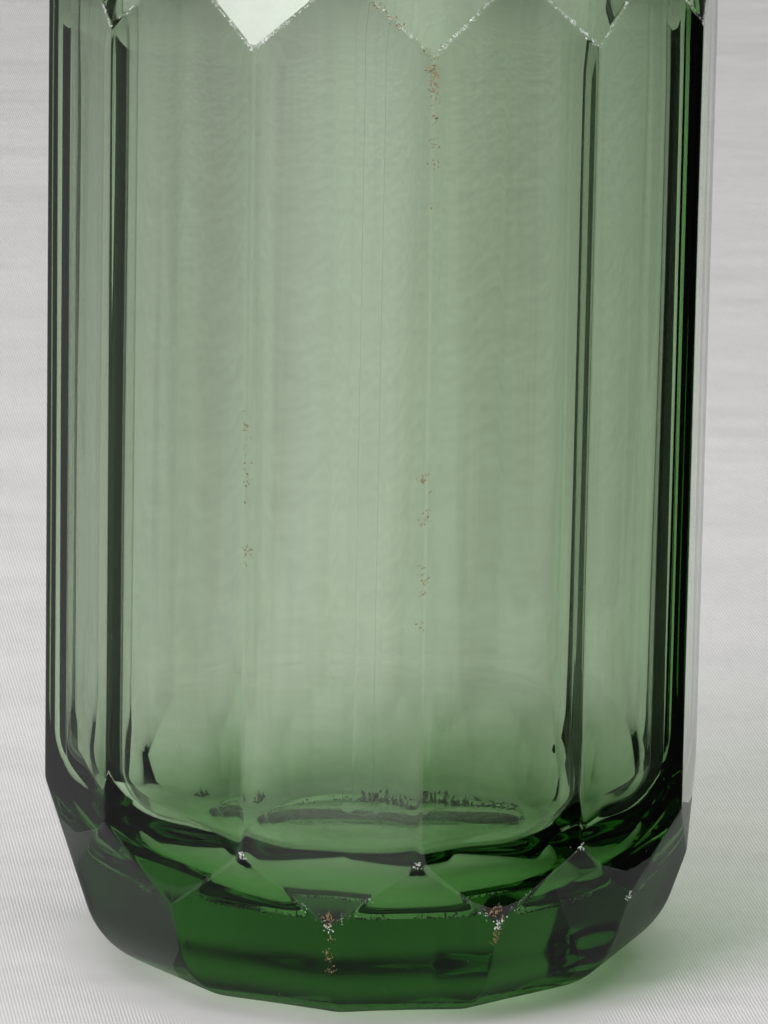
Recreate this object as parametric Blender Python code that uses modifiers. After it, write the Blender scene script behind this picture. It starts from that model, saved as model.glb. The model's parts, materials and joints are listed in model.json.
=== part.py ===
"""Seltzer siphon: a twelve-sided pressed glass bottle with a cast siphon head.

+Z runs up the bottle's axis and the origin is on the table below it. The spout points
along +X and the lever's handle along -X. All sizes are in metres.
"""

from math import cos, pi, radians, sin, tan

import bmesh
import bpy
from mathutils import Matrix, Vector

# Fits and fineness
GAP = 0.0003                    # between pieces that seat on each other
LARGE_STEPS = 40                # facets round the bottle's bore and the head
SMALL_STEPS = 20                # facets round rods, nuts and washers
FLUTE_STEPS = 8                 # facets round the cutter of one flute
FILLET_STEPS = 3                # chords in a rounded corner
LEVEL_SPANS = 3                 # spans of the lever's level bar
CURVE_SPANS = 5                 # spans of its curve down to the tip

# Glass body: vertical panels between a leaning heel and three rows of shoulder facets
SIDES = 12
BODY_RADIUS = 0.050             # over the vertical edges
HEEL_TOP = 0.028                # lower end of the vertical edges
HEEL_LEAN = radians(18)
HEEL_ROUNDING = 0.016
BODY_TOP = 0.147                # upper end of the vertical edges
ROW_1_LEAN = radians(16.4)
ROW_2_RISE = 0.0167             # above BODY_TOP, where each row starts
ROW_2_LEAN = radians(34)
ROW_3_RISE = 0.0325
ROW_3_LEAN = radians(52)
SPINDLE_SLACK = 0.004           # by which the heel and shoulder form stands clear of the panels

# Glass neck, bore and base
LIP_RISE = 0.096                # above BODY_TOP
NECK_RADIUS = 0.014
NECK_COVE = 0.014
BEAD_RADIUS = 0.017
BEAD_HEIGHT = 0.008
BEAD_ROUNDING = 0.0015
BORE_RADIUS = 0.0095
WALL = 0.0053
FLOOR_HEIGHT = 0.017
FLOOR_ROUNDING = 0.014
BORE_ROUNDING = 0.006
PUSH_UP_RADIUS = 0.026
PUSH_UP_DEPTH = 0.004
PUSH_UP_STEPS = 5

# Neck ring, gasket and skirt
RING_WALL = 0.0052
RING_HEIGHT = 0.012
RING_SPLIT = 0.0006
GASKET_THICKNESS = 0.002
SKIRT_WALL = 0.0028
SKIRT_OVERHANG = 0.0027
SKIRT_BEAD = 0.0011             # how far the skirt's two bands stand out
SKIRT_BAND = 0.0034             # height of each band
FLUTES = 24
FLUTE_RADIUS = 0.0011
SHOULDER_RISE = 0.015           # from the skirt's ceiling to the foot of the column
COLUMN_RADIUS = 0.0115
COLUMN_COLLAR = 0.0009
COLUMN_COLLAR_HEIGHT = 0.0024

# Dip tube and what clamps it
TUBE_RADIUS = 0.004
TUBE_WALL = 0.0018
TUBE_FOOT = 0.0035              # from the bottle's floor to the tube's mouth
SLEEVE_WALL = 0.0023
SLEEVE_LENGTH = 0.0087
NUT_WALL = 0.0011
NUT_LIP = 0.002
NUT_SPIGOT = 0.007
NUT_FLANGE = 0.0037
NUT_FLANGE_WIDTH = 0.0010

# Valve and its spring
SPRING_SEAT_THICKNESS = 0.0015
SPRING_SEAT_HOLE = 0.0027
SPRING_LENGTH = 0.0096
SPRING_RADIUS = 0.0040          # to the middle of the wire
SPRING_WIRE = 0.0009
SPRING_TURNS = 5
SPRING_POINTS = 10              # along one turn
CHAMBER_RADIUS = 0.0070
HOLDER_RADIUS = 0.0058
HOLDER_FLOOR = 0.0018
HOLDER_RIM = 0.0011
HOLDER_RIM_WALL = 0.0006
HUB_RADIUS = 0.0026
HUB_LENGTH = 0.0022
WASHER_THICKNESS = 0.0022
VALVE_NUT_RADIUS = 0.0029
VALVE_NUT_HEIGHT = 0.0025
SEAT_HOLE = 0.0034
SEAT_LIP = 0.0008
SEAT_LIP_WALL = 0.0010
SEAT_WEB = 0.002
STEM_RADIUS = 0.002
STEM_END_RADIUS = 0.0015
STEM_END_SPARE = 0.0004

# Outlet chamber, packing and gland
OUTLET_RADIUS = 0.005
OUTLET_HEIGHT = 0.010
PACKING_BOX_RADIUS = 0.006
PACKING_WASHER = 0.001
PACKING_LENGTH = 0.0024
GLAND_SPIGOT = 0.002
GLAND_FLANGE = 0.004
GLAND_RADIUS = 0.0075           # over the corners

# Lever and its pivot
LEVER_ARM = 0.014               # from the stem to the pivot
LEVER_ANGLE = radians(13)
PIVOT_RISE = 0.0012             # above the lever's face on the button
LEVER_REACH = 0.0665
LEVER_DROP = 0.044              # from the lever's face down to its tip
LEVER_BEND_START = 0.019        # behind the stem, where the bar starts to curve down
LEVER_BAR_WIDTH = 0.0072
LEVER_BAR_DEPTH = 0.0062
LEVER_HANDLE_WIDTH = 0.018
LEVER_TIP_WIDTH = 0.0124
LEVER_TIP_DEPTH = 0.0048
LEVER_SQUARENESS = 0.6          # of the lever's section, between 1 for an oval and 0 for a box
EYE_RADIUS = 0.0046
EYE_WIDTH = 0.0076
EAR_RADIUS = 0.0050
EAR_THICKNESS = 0.0032
PIN_RADIUS = 0.002
PIN_HEAD_RADIUS = 0.0034
PIN_HEAD = 0.0015
PIN_NUT_RADIUS = 0.0039
PIN_NUT_HEIGHT = 0.003
PIN_TAIL = 0.0008
BUTTON_RADIUS = 0.0045
BUTTON_HEIGHT = 0.0044
BUTTON_CROWN = 0.0013
BUTTON_SOCKET = 0.0022

# Spout, its union nut and the nozzle
BOSS_RADIUS = 0.008
BOSS_LENGTH = 0.0205
UNION_SPIGOT_RADIUS = 0.0063
UNION_SPIGOT_LENGTH = 0.006
SPOUT_GASKET = 0.0015
SPOUT_FLANGE = 0.002
SPOUT_FLANGE_RADIUS = 0.006
SPOUT_RADIUS = 0.005
SPOUT_END_RADIUS = 0.0042
SPOUT_BORE = 0.0032
SPOUT_BEND = 0.024
SPOUT_DROP = 0.034              # from the spout's axis down to its open end
SPOUT_REACH = 0.0665
UNION_NUT_WALL = 0.0028
UNION_NUT_LIP = 0.002
NOZZLE_RADIUS = 0.0065
NOZZLE_TIP_RADIUS = 0.0046
NOZZLE_SOCKET = 0.005
NOZZLE_LENGTH = 0.013
NOZZLE_BORE = 0.0024
NOZZLE_COLLAR = 0.0025

# Heights, worked out up the bottle and the head
LIP = BODY_TOP + LIP_RISE
BEAD_BASE = LIP - BEAD_HEIGHT
RING_TOP = BEAD_BASE - GAP
RING_BASE = RING_TOP - RING_HEIGHT
SKIRT_BASE = RING_BASE - SKIRT_OVERHANG
CEILING = LIP + 2 * GAP + GASKET_THICKNESS
SPRING_SEAT_BASE = CEILING + NUT_SPIGOT + GAP
SPRING_BASE = SPRING_SEAT_BASE + SPRING_SEAT_THICKNESS + GAP
CHAMBER_BASE = SPRING_BASE
HOLDER_BASE = SPRING_BASE + SPRING_LENGTH + GAP
WASHER_BASE = HOLDER_BASE + HOLDER_FLOOR + GAP
SEAT_LIP_BASE = WASHER_BASE + WASHER_THICKNESS + GAP
CHAMBER_TOP = SEAT_LIP_BASE + SEAT_LIP
OUTLET_BASE = CHAMBER_TOP + SEAT_WEB
OUTLET_AXIS = OUTLET_BASE + OUTLET_HEIGHT / 2
PACKING_BOX_BASE = OUTLET_BASE + OUTLET_HEIGHT
PACKING_BASE = PACKING_BOX_BASE + PACKING_WASHER + 2 * GAP
GLAND_BASE = PACKING_BASE + PACKING_LENGTH + GAP
HEAD_TOP = GLAND_BASE + GLAND_SPIGOT
GLAND_TOP = HEAD_TOP + GAP + GLAND_FLANGE
STEM_TRAVEL = LEVER_ARM * tan(LEVER_ANGLE)
BUTTON_BASE = GLAND_TOP + GAP + STEM_TRAVEL
LEVER_FACE = BUTTON_BASE + BUTTON_HEIGHT + GAP
PIVOT = Vector((LEVER_ARM, 0, LEVER_FACE + PIVOT_RISE))

# Radii and distances shared by pieces that fit each other
PANEL_RADIUS = BODY_RADIUS * cos(pi / SIDES)
RING_RADIUS = NECK_RADIUS + GAP + RING_WALL
SKIRT_BORE = max(RING_RADIUS, BEAD_RADIUS) + GAP
SKIRT_RADIUS = SKIRT_BORE + SKIRT_WALL
SLEEVE_BORE = TUBE_RADIUS + GAP
SLEEVE_RADIUS = SLEEVE_BORE + SLEEVE_WALL
NUT_BORE = SLEEVE_RADIUS + GAP
NUT_RADIUS = NUT_BORE + NUT_WALL
SOCKET_RADIUS = NUT_RADIUS + GAP
STEM_HOLE = STEM_RADIUS + GAP
STEM_END_HOLE = STEM_END_RADIUS + GAP
EAR_INNER = EYE_WIDTH / 2 + GAP
EAR_OUTER = EAR_INNER + EAR_THICKNESS
PIN_HOLE = PIN_RADIUS + GAP
UNION_END = BOSS_LENGTH + UNION_SPIGOT_LENGTH
SPOUT_GASKET_START = UNION_END + GAP
SPOUT_START = SPOUT_GASKET_START + SPOUT_GASKET + GAP
UNION_NUT_BORE = max(UNION_SPIGOT_RADIUS, SPOUT_FLANGE_RADIUS) + GAP
SPOUT_DROP_X = SPOUT_REACH - NOZZLE_RADIUS
SPOUT_END = OUTLET_AXIS - SPOUT_DROP


# Scene set-up

def clear_scene():
    """Removes whatever the file opened with."""
    for obj in list(bpy.data.objects):
        bpy.data.objects.remove(obj)


def new_collection(name):
    """A collection linked to the scene."""
    collection = bpy.data.collections.new(name)
    bpy.context.scene.collection.children.link(collection)
    return collection


clear_scene()
PARTS = new_collection("seltzer_bottle")
CUTTERS = new_collection("cutters")


def new_material(name, colour, roughness, metallic=0.0, transmission=0.0):
    """A Principled BSDF with the piece's own colour and gloss."""
    material = bpy.data.materials.new(name)
    material.use_nodes = True
    shader = material.node_tree.nodes["Principled BSDF"]
    shader.inputs["Base Color"].default_value = (*colour, 1.0)
    shader.inputs["Roughness"].default_value = roughness
    shader.inputs["Metallic"].default_value = metallic
    shader.inputs["Transmission Weight"].default_value = transmission
    return material


GREEN_GLASS = new_material("green_glass", (0.36, 0.52, 0.38), 0.05, transmission=1.0)
CLEAR_GLASS = new_material("clear_glass", (0.85, 0.90, 0.88), 0.05, transmission=1.0)
CAST_ALLOY = new_material("cast_alloy", (0.45, 0.45, 0.43), 0.38, metallic=1.0)
STEEL = new_material("steel", (0.55, 0.55, 0.54), 0.30, metallic=1.0)
BRASS = new_material("brass", (0.60, 0.46, 0.22), 0.35, metallic=1.0)
RUBBER = new_material("rubber", (0.05, 0.045, 0.04), 0.80)


# Modelling helpers

def finish(obj, material):
    """Gives a part its material and puts it among the parts."""
    obj.data.materials.clear()
    obj.data.materials.append(material)
    PARTS.objects.link(obj)
    CUTTERS.objects.unlink(obj)
    obj.hide_render = False
    obj.display_type = "TEXTURED"
    return obj


def new_object(name, data):
    """Every shape starts as a hidden helper. finish() makes it a part."""
    obj = bpy.data.objects.new(name, data)
    CUTTERS.objects.link(obj)
    obj.hide_render = True
    obj.display_type = "WIRE"
    return obj


def lathe(name, profile, steps=LARGE_STEPS, ring=False, turn=0.0):
    """Turns a profile of (radius, height) points, listed down its outer side."""
    mesh = bpy.data.meshes.new(name)
    count = len(profile)
    edges = [(i, i + 1) for i in range(count - 1)]
    if ring:
        edges.append((count - 1, 0))
    mesh.from_pydata([(r * cos(turn), r * sin(turn), z) for r, z in profile], edges, [])
    obj = new_object(name, mesh)
    screw = obj.modifiers.new("Turn", "SCREW")
    screw.axis = "Z"
    screw.angle = 2 * pi
    screw.steps = steps
    screw.render_steps = steps
    screw.use_merge_vertices = True
    screw.merge_threshold = 0.00001
    screw.use_smooth_shade = steps > SIDES
    return obj


def washer(name, outer, inner, base, top, steps=SMALL_STEPS):
    """A plain ring of rectangular section."""
    return lathe(name, [(outer, top), (outer, base), (inner, base), (inner, top)], steps, ring=True)


def rods(name, ends, radius, steps=SMALL_STEPS):
    """One mesh of straight round bars, each between a pair of points."""
    bm = bmesh.new()
    for start, end in ends:
        axis = Vector(end) - Vector(start)
        place = Matrix.Translation((Vector(start) + Vector(end)) / 2)
        turn = axis.to_track_quat("Z", "Y").to_matrix().to_4x4()
        bmesh.ops.create_cone(bm, cap_ends=True, segments=steps, radius1=radius, radius2=radius,
                              depth=axis.length, matrix=place @ turn)
    mesh = bpy.data.meshes.new(name)
    bm.to_mesh(mesh)
    bm.free()
    return new_object(name, mesh)


def block(name, low, high):
    """A box between two corners."""
    bm = bmesh.new()
    size = Vector(high) - Vector(low)
    place = Matrix.Translation((Vector(low) + Vector(high)) / 2)
    bmesh.ops.create_cube(bm, size=1.0, matrix=place @ Matrix.Diagonal((*size, 1.0)))
    mesh = bpy.data.meshes.new(name)
    bm.to_mesh(mesh)
    bm.free()
    return new_object(name, mesh)


def combine(obj, other, operation):
    """Adds a Boolean modifier that joins, cuts or keeps the overlap."""
    boolean = obj.modifiers.new(operation.title(), "BOOLEAN")
    boolean.operation = operation
    boolean.solver = "EXACT"
    boolean.object = other


def curve_to_mesh(obj):
    """Replaces a curve object by a closed mesh with its caps welded on."""
    bpy.context.view_layer.update()
    evaluated = obj.evaluated_get(bpy.context.evaluated_depsgraph_get())
    mesh = bpy.data.meshes.new_from_object(evaluated)
    bm = bmesh.new()
    bm.from_mesh(mesh)
    bmesh.ops.remove_doubles(bm, verts=bm.verts, dist=0.00001)
    bmesh.ops.recalc_face_normals(bm, faces=bm.faces)
    bm.to_mesh(mesh)
    bm.free()
    name = obj.name
    place = obj.matrix_world.copy()
    bpy.data.objects.remove(obj)
    solid = new_object(name, mesh)
    solid.matrix_world = place
    return solid


def tube(name, points, radius, resolution=4, scales=None):
    """A round bar along a list of points, with an optional scale at each."""
    curve = bpy.data.curves.new(name, "CURVE")
    curve.dimensions = "3D"
    curve.bevel_depth = radius
    curve.bevel_resolution = resolution
    curve.use_fill_caps = True
    spline = curve.splines.new("POLY")
    spline.points.add(len(points) - 1)
    for index, point in enumerate(points):
        spline.points[index].co = (*point, 1.0)
        spline.points[index].radius = scales[index] if scales else 1.0
    return curve_to_mesh(new_object(name, curve))


def side_plate(name, outline, inner, outer):
    """A flat plate with an outline of (x, z) points, between two distances along Y."""
    curve = bpy.data.curves.new(name, "CURVE")
    curve.dimensions = "2D"
    curve.fill_mode = "BOTH"
    curve.extrude = abs(outer - inner) / 2
    spline = curve.splines.new("POLY")
    spline.points.add(len(outline) - 1)
    for index, (x, z) in enumerate(outline):
        spline.points[index].co = (x, z, 0.0, 1.0)
    spline.use_cyclic_u = True
    obj = new_object(name, curve)
    obj.location = (0, (inner + outer) / 2, 0)
    obj.rotation_euler = (pi / 2, 0, 0)
    return curve_to_mesh(obj)


def arc(centre, radius, start, end, steps):
    """Points along an arc, in whichever plane its centre is given."""
    angles = [start + (end - start) * i / steps for i in range(steps + 1)]
    return [(centre[0] + radius * cos(a), centre[1] + radius * sin(a)) for a in angles]


def hex_bar(name, radius, base, top):
    """A hexagonal bar whose corners are turned off at both ends."""
    bar = lathe(name, [(0, top), (radius, top), (radius, base), (0, base)], steps=6)
    flat = radius * cos(pi / 6)
    edge = radius - flat
    corners = [(0, top), (flat, top), (radius, top - edge), (radius, base + edge), (flat, base), (0, base)]
    combine(bar, lathe(name + "_chamfers", corners, SMALL_STEPS), "INTERSECT")
    return bar


# Profile lines: each is a (radius, height, lean) with the lean measured from the vertical

def radius_at(line, height):
    """Radius of a leaning line at a height."""
    return line[0] - (height - line[1]) * tan(line[2])


def meet(lower, upper):
    """The (radius, height) where two leaning lines cross."""
    rise = (radius_at(lower, 0) - radius_at(upper, 0)) / (tan(lower[2]) - tan(upper[2]))
    return (radius_at(lower, rise), rise)


def inward(line, distance):
    """The same line moved square to itself, into the glass."""
    return (line[0] - distance * cos(line[2]), line[1] - distance * sin(line[2]), line[2])


def fillet(before, corner, after, radius):
    """Points that round a profile's corner, from the first side to the second."""
    corner = Vector(corner)
    first = (Vector(before) - corner).normalized()
    second = (Vector(after) - corner).normalized()
    half = first.angle(second) / 2
    start = corner + first * radius / tan(half)
    end = corner + second * radius / tan(half)
    centre = corner + (first + second).normalized() * radius / sin(half)
    points = []
    for step in range(FILLET_STEPS + 1):
        spoke = (start - centre).lerp(end - centre, step / FILLET_STEPS)
        points.append(tuple(centre + spoke.normalized() * radius))
    return points


# Glass bottle

PANEL_LINE = (PANEL_RADIUS, 0.0, 0.0)
ROW_1_LINE = (BODY_RADIUS, BODY_TOP, ROW_1_LEAN)
ROW_2_LINE = (PANEL_RADIUS, BODY_TOP + ROW_2_RISE, ROW_2_LEAN)
ROW_3_LINE = (radius_at(ROW_1_LINE, BODY_TOP + ROW_3_RISE), BODY_TOP + ROW_3_RISE, ROW_3_LEAN)
HEEL_LINE = (BODY_RADIUS, HEEL_TOP, -HEEL_LEAN)


def heel_arc():
    """The rounding that carries the heel facets into the standing ring, from the top down."""
    centre = radius_at(HEEL_LINE, HEEL_ROUNDING) - HEEL_ROUNDING / cos(HEEL_LEAN)
    return arc((centre, HEEL_ROUNDING), HEEL_ROUNDING, -HEEL_LEAN, -pi / 2, 2 * FILLET_STEPS)


def panel_prism():
    """Upright panels with the second row of shoulder facets above them, edges on the X axis."""
    start = BODY_TOP + ROW_2_RISE
    top_radius = NECK_RADIUS * cos(pi / SIDES)
    top = start + (PANEL_RADIUS - top_radius) / tan(ROW_2_LEAN)
    profile = [(0, top), (NECK_RADIUS, top), (BODY_RADIUS, start), (BODY_RADIUS, -GAP), (0, -GAP)]
    return lathe("bottle", profile, SIDES)


def heel_and_shoulder():
    """Heel, first and third shoulder rows, turned half a panel so the rows stagger."""
    wide = BODY_RADIUS + SPINDLE_SLACK
    start = BODY_TOP + ROW_3_RISE
    top = start + (ROW_3_LINE[0] - BORE_RADIUS) / tan(ROW_3_LEAN)
    profile = [(0, top), (BORE_RADIUS, top), (ROW_3_LINE[0], start)]
    profile.append((wide, BODY_TOP - SPINDLE_SLACK / tan(ROW_1_LEAN)))
    profile.append((wide, HEEL_TOP + SPINDLE_SLACK / tan(HEEL_LEAN)))
    profile += heel_arc() + [(0, 0)]
    widen = 1 / cos(pi / SIDES)
    return lathe("heel_and_shoulder", [(r * widen, z) for r, z in profile], SIDES, turn=pi / SIDES)


def neck():
    """The round neck with its bead, flared into the third row of facets."""
    cove_centre = NECK_RADIUS + NECK_COVE
    foot_radius = cove_centre - NECK_COVE * cos(ROW_3_LEAN)
    foot = ROW_3_LINE[1] + (ROW_3_LINE[0] - foot_radius) / tan(ROW_3_LEAN)
    centre = (cove_centre, foot + NECK_COVE * sin(ROW_3_LEAN))
    cove = arc(centre, NECK_COVE, pi, pi + ROW_3_LEAN, 2 * FILLET_STEPS)
    root = foot - NECK_COVE / 2
    crown = fillet((0, LIP), (BEAD_RADIUS, LIP), (BEAD_RADIUS, BEAD_BASE), BEAD_ROUNDING)
    profile = [(0, LIP)] + crown + [(BEAD_RADIUS, BEAD_BASE), (NECK_RADIUS, BEAD_BASE)]
    profile += cove + [(BORE_RADIUS, root), (0, root)]
    return lathe("bottle_neck", profile)


def cavity():
    """The space inside the glass, a wall's thickness in from every row of facets."""
    lines = [inward(line, WALL) for line in (PANEL_LINE, ROW_1_LINE, ROW_2_LINE, ROW_3_LINE)]
    bore_line = (BORE_RADIUS, 0.0, 0.0)
    corners = [meet(lower, upper) for lower, upper in zip(lines, lines[1:] + [bore_line])]
    mouth = (BORE_RADIUS, LIP + GAP)
    profile = [(0, LIP + GAP), mouth]
    profile += fillet(mouth, corners[-1], corners[-2], BORE_ROUNDING)
    for index in (2, 1, 0):
        below = corners[index - 1] if index else (lines[0][0], FLOOR_HEIGHT)
        profile += fillet(corners[index + 1], corners[index], below, FLOOR_ROUNDING)
    wall_foot = (lines[0][0], FLOOR_HEIGHT)
    profile += fillet(corners[0], wall_foot, (0, FLOOR_HEIGHT), FLOOR_ROUNDING)
    return lathe("bottle_cavity", profile + [(0, FLOOR_HEIGHT)])


def push_up():
    """The shallow dome under the base, which leaves a flat standing ring."""
    sphere = (PUSH_UP_RADIUS ** 2 + PUSH_UP_DEPTH ** 2) / (2 * PUSH_UP_DEPTH)
    profile = []
    for step in range(PUSH_UP_STEPS + 1):
        radius = PUSH_UP_RADIUS * step / PUSH_UP_STEPS
        height = PUSH_UP_DEPTH - sphere + (sphere ** 2 - radius ** 2) ** 0.5
        profile.append((radius, height))
    return lathe("bottle_push_up", profile + [(PUSH_UP_RADIUS, -2 * GAP), (0, -2 * GAP)])


def make_bottle():
    bottle = panel_prism()
    combine(bottle, heel_and_shoulder(), "INTERSECT")
    combine(bottle, neck(), "UNION")
    combine(bottle, cavity(), "DIFFERENCE")
    combine(bottle, push_up(), "DIFFERENCE")
    finish(bottle, GREEN_GLASS)


# What clamps the head to the glass

def make_neck_rings():
    """Two halves of a threaded ring that close round the neck below its bead."""
    for name, side in (("neck_ring_left", 1), ("neck_ring_right", -1)):
        half = washer(name, RING_RADIUS, NECK_RADIUS + GAP, RING_BASE, RING_TOP, LARGE_STEPS)
        near = -side * RING_RADIUS * 2
        far = side * RING_SPLIT / 2
        low = (-2 * RING_RADIUS, min(near, far), RING_BASE - GAP)
        high = (2 * RING_RADIUS, max(near, far), RING_TOP + GAP)
        combine(half, block(name + "_cutter", low, high), "DIFFERENCE")
        finish(half, CAST_ALLOY)


def make_neck_gasket():
    base = LIP + GAP
    gasket = washer("neck_gasket", BEAD_RADIUS - BEAD_ROUNDING / 2, BORE_RADIUS + GAP, base,
                    base + GASKET_THICKNESS, LARGE_STEPS)
    finish(gasket, RUBBER)


# Siphon head

def head_profile():
    """Outer side of the cast head: column with a collar, coved shoulder and banded skirt."""
    collar_top = HEAD_TOP - COLUMN_COLLAR_HEIGHT
    shoulder = CEILING + SKIRT_WALL
    band = SKIRT_RADIUS + SKIRT_BEAD
    foot = CEILING + SHOULDER_RISE
    cove_width = SKIRT_RADIUS - SKIRT_BEAD - COLUMN_RADIUS
    top = [(0, HEAD_TOP), (COLUMN_RADIUS, HEAD_TOP)]
    top.append((COLUMN_RADIUS + COLUMN_COLLAR, HEAD_TOP - COLUMN_COLLAR))
    top.append((COLUMN_RADIUS + COLUMN_COLLAR, collar_top))
    top.append((COLUMN_RADIUS, collar_top - COLUMN_COLLAR))
    cove = []
    for step in range(2 * FILLET_STEPS + 1):
        angle = pi / 2 * step / (2 * FILLET_STEPS)
        radius = COLUMN_RADIUS + cove_width * (1 - cos(angle))
        cove.append((radius, foot - (foot - shoulder) * sin(angle)))
    skirt = [(band - SKIRT_BEAD / 2, shoulder), (band, shoulder - SKIRT_BEAD / 2)]
    skirt += [(band, shoulder - SKIRT_BAND + SKIRT_BEAD / 2), (SKIRT_RADIUS, shoulder - SKIRT_BAND)]
    skirt += [(SKIRT_RADIUS, SKIRT_BASE + SKIRT_BAND), (band, SKIRT_BASE + SKIRT_BAND - SKIRT_BEAD / 2)]
    skirt += [(band, SKIRT_BASE + SKIRT_BEAD / 2), (band - SKIRT_BEAD / 2, SKIRT_BASE), (0, SKIRT_BASE)]
    return top + cove + skirt


def head_bore():
    """Everything hollow on the head's own axis, from the packing box down to the skirt."""
    lip_outer = SEAT_HOLE + SEAT_LIP_WALL
    profile = [(0, HEAD_TOP + GAP), (PACKING_BOX_RADIUS, HEAD_TOP + GAP)]
    profile += [(PACKING_BOX_RADIUS, PACKING_BOX_BASE), (OUTLET_RADIUS, PACKING_BOX_BASE)]
    profile += [(OUTLET_RADIUS, OUTLET_BASE), (SEAT_HOLE, OUTLET_BASE)]
    profile += [(SEAT_HOLE, SEAT_LIP_BASE), (lip_outer, SEAT_LIP_BASE), (lip_outer, CHAMBER_TOP)]
    profile += [(CHAMBER_RADIUS, CHAMBER_TOP), (CHAMBER_RADIUS, CHAMBER_BASE)]
    profile += [(SOCKET_RADIUS, CHAMBER_BASE), (SOCKET_RADIUS, CEILING), (SKIRT_BORE, CEILING)]
    profile += [(SKIRT_BORE, SKIRT_BASE - GAP), (0, SKIRT_BASE - GAP)]
    return lathe("head_bore", profile)


def ear(name, side):
    """One cheek of the lever's fork, standing on the spout boss."""
    left = PIVOT.x - EAR_RADIUS
    right = PIVOT.x + EAR_RADIUS
    outline = arc((PIVOT.x, PIVOT.z), EAR_RADIUS, 0, pi, 3 * FILLET_STEPS)
    outline += [(left, OUTLET_AXIS), (right, OUTLET_AXIS)]
    return side_plate(name, outline, side * EAR_INNER, side * EAR_OUTER)


def flute_cutter():
    """Upright grooves round the skirt, between its two bands."""
    low = SKIRT_BASE + SKIRT_BAND + FLUTE_RADIUS
    high = CEILING + SKIRT_WALL - SKIRT_BAND - FLUTE_RADIUS
    place = Matrix.Translation((SKIRT_RADIUS + FLUTE_RADIUS / 3, 0, (low + high) / 2))
    bm = bmesh.new()
    for index in range(FLUTES):
        turn = Matrix.Rotation(2 * pi * (index + 0.5) / FLUTES, 4, "Z")
        bmesh.ops.create_cone(bm, cap_ends=True, segments=FLUTE_STEPS, radius1=FLUTE_RADIUS,
                              radius2=FLUTE_RADIUS, depth=high - low, matrix=turn @ place)
    mesh = bpy.data.meshes.new("skirt_flutes")
    bm.to_mesh(mesh)
    bm.free()
    return new_object("skirt_flutes", mesh)


def make_head_body():
    body = lathe("head_body", head_profile())
    boss = rods("spout_boss", [((0, 0, OUTLET_AXIS), (BOSS_LENGTH, 0, OUTLET_AXIS))], BOSS_RADIUS)
    spigot = rods("union_spigot", [((0, 0, OUTLET_AXIS), (UNION_END, 0, OUTLET_AXIS))], UNION_SPIGOT_RADIUS)
    for solid in (boss, spigot, ear("left_ear", 1), ear("right_ear", -1)):
        combine(body, solid, "UNION")
    passage = [((0, 0, OUTLET_AXIS), (UNION_END + GAP, 0, OUTLET_AXIS))]
    pin_line = [((PIVOT.x, -EAR_OUTER - GAP, PIVOT.z), (PIVOT.x, EAR_OUTER + GAP, PIVOT.z))]
    cutters = (head_bore(), rods("outlet_passage", passage, SPOUT_BORE),
               rods("ear_holes", pin_line, PIN_HOLE), flute_cutter())
    for cutter in cutters:
        combine(body, cutter, "DIFFERENCE")
    finish(body, CAST_ALLOY)


# Dip tube and its clamp

def make_dip_tube():
    base = FLOOR_HEIGHT + TUBE_FOOT
    dip_tube = washer("dip_tube", TUBE_RADIUS, TUBE_RADIUS - TUBE_WALL, base, CEILING + NUT_SPIGOT)
    finish(dip_tube, CLEAR_GLASS)


def make_tube_sleeve():
    top = CEILING + NUT_SPIGOT
    sleeve = washer("tube_sleeve", SLEEVE_RADIUS, SLEEVE_BORE, top - SLEEVE_LENGTH, top)
    finish(sleeve, RUBBER)


def make_tube_nut():
    """The hollow screw below the valve that squeezes the sleeve on the tube."""
    top = CEILING + NUT_SPIGOT
    flange = CEILING - GAP
    lip = top - SLEEVE_LENGTH - GAP
    base = min(lip - NUT_LIP, flange - NUT_FLANGE)
    flange_radius = min(NUT_RADIUS + NUT_FLANGE_WIDTH, BORE_RADIUS - GAP)
    profile = [(NUT_RADIUS, top), (NUT_RADIUS, flange), (flange_radius, flange), (flange_radius, base)]
    profile += [(SLEEVE_BORE, base), (SLEEVE_BORE, lip), (NUT_BORE, lip), (NUT_BORE, top)]
    finish(lathe("tube_nut", profile, SMALL_STEPS, ring=True), BRASS)


# Valve

def make_spring_seat():
    seat = washer("spring_seat", SOCKET_RADIUS - GAP, SPRING_SEAT_HOLE, SPRING_SEAT_BASE,
                  SPRING_SEAT_BASE + SPRING_SEAT_THICKNESS)
    finish(seat, BRASS)


def spring_points():
    """The middle of the wire, one steady helix from the spring's foot to its top."""
    rise = SPRING_LENGTH - SPRING_WIRE
    count = SPRING_TURNS * SPRING_POINTS
    points = []
    for index in range(count + 1):
        angle = 2 * pi * index / SPRING_POINTS
        height = SPRING_BASE + SPRING_WIRE / 2 + rise * index / count
        points.append(Vector((SPRING_RADIUS * cos(angle), SPRING_RADIUS * sin(angle), height)))
    return points


def make_valve_spring():
    points = spring_points()
    apart = [(a - b).length for i, a in enumerate(points) for b in points[i + SPRING_POINTS // 2:]]
    print("valve_spring least gap to itself, mm:", round(1000 * (min(apart) - SPRING_WIRE), 2))
    finish(tube("valve_spring", points, SPRING_WIRE / 2, resolution=1), STEEL)


def make_valve_holder():
    """The cup that carries the valve's washer, with a hub that centres the spring."""
    floor_top = HOLDER_BASE + HOLDER_FLOOR
    rim_top = floor_top + HOLDER_RIM
    cup = HOLDER_RADIUS - HOLDER_RIM_WALL
    profile = [(HOLDER_RADIUS, rim_top), (HOLDER_RADIUS, HOLDER_BASE), (HUB_RADIUS, HOLDER_BASE)]
    profile += [(HUB_RADIUS, HOLDER_BASE - HUB_LENGTH), (STEM_END_HOLE, HOLDER_BASE - HUB_LENGTH)]
    profile += [(STEM_END_HOLE, floor_top), (cup, floor_top), (cup, rim_top)]
    finish(lathe("valve_holder", profile, SMALL_STEPS, ring=True), BRASS)


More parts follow.
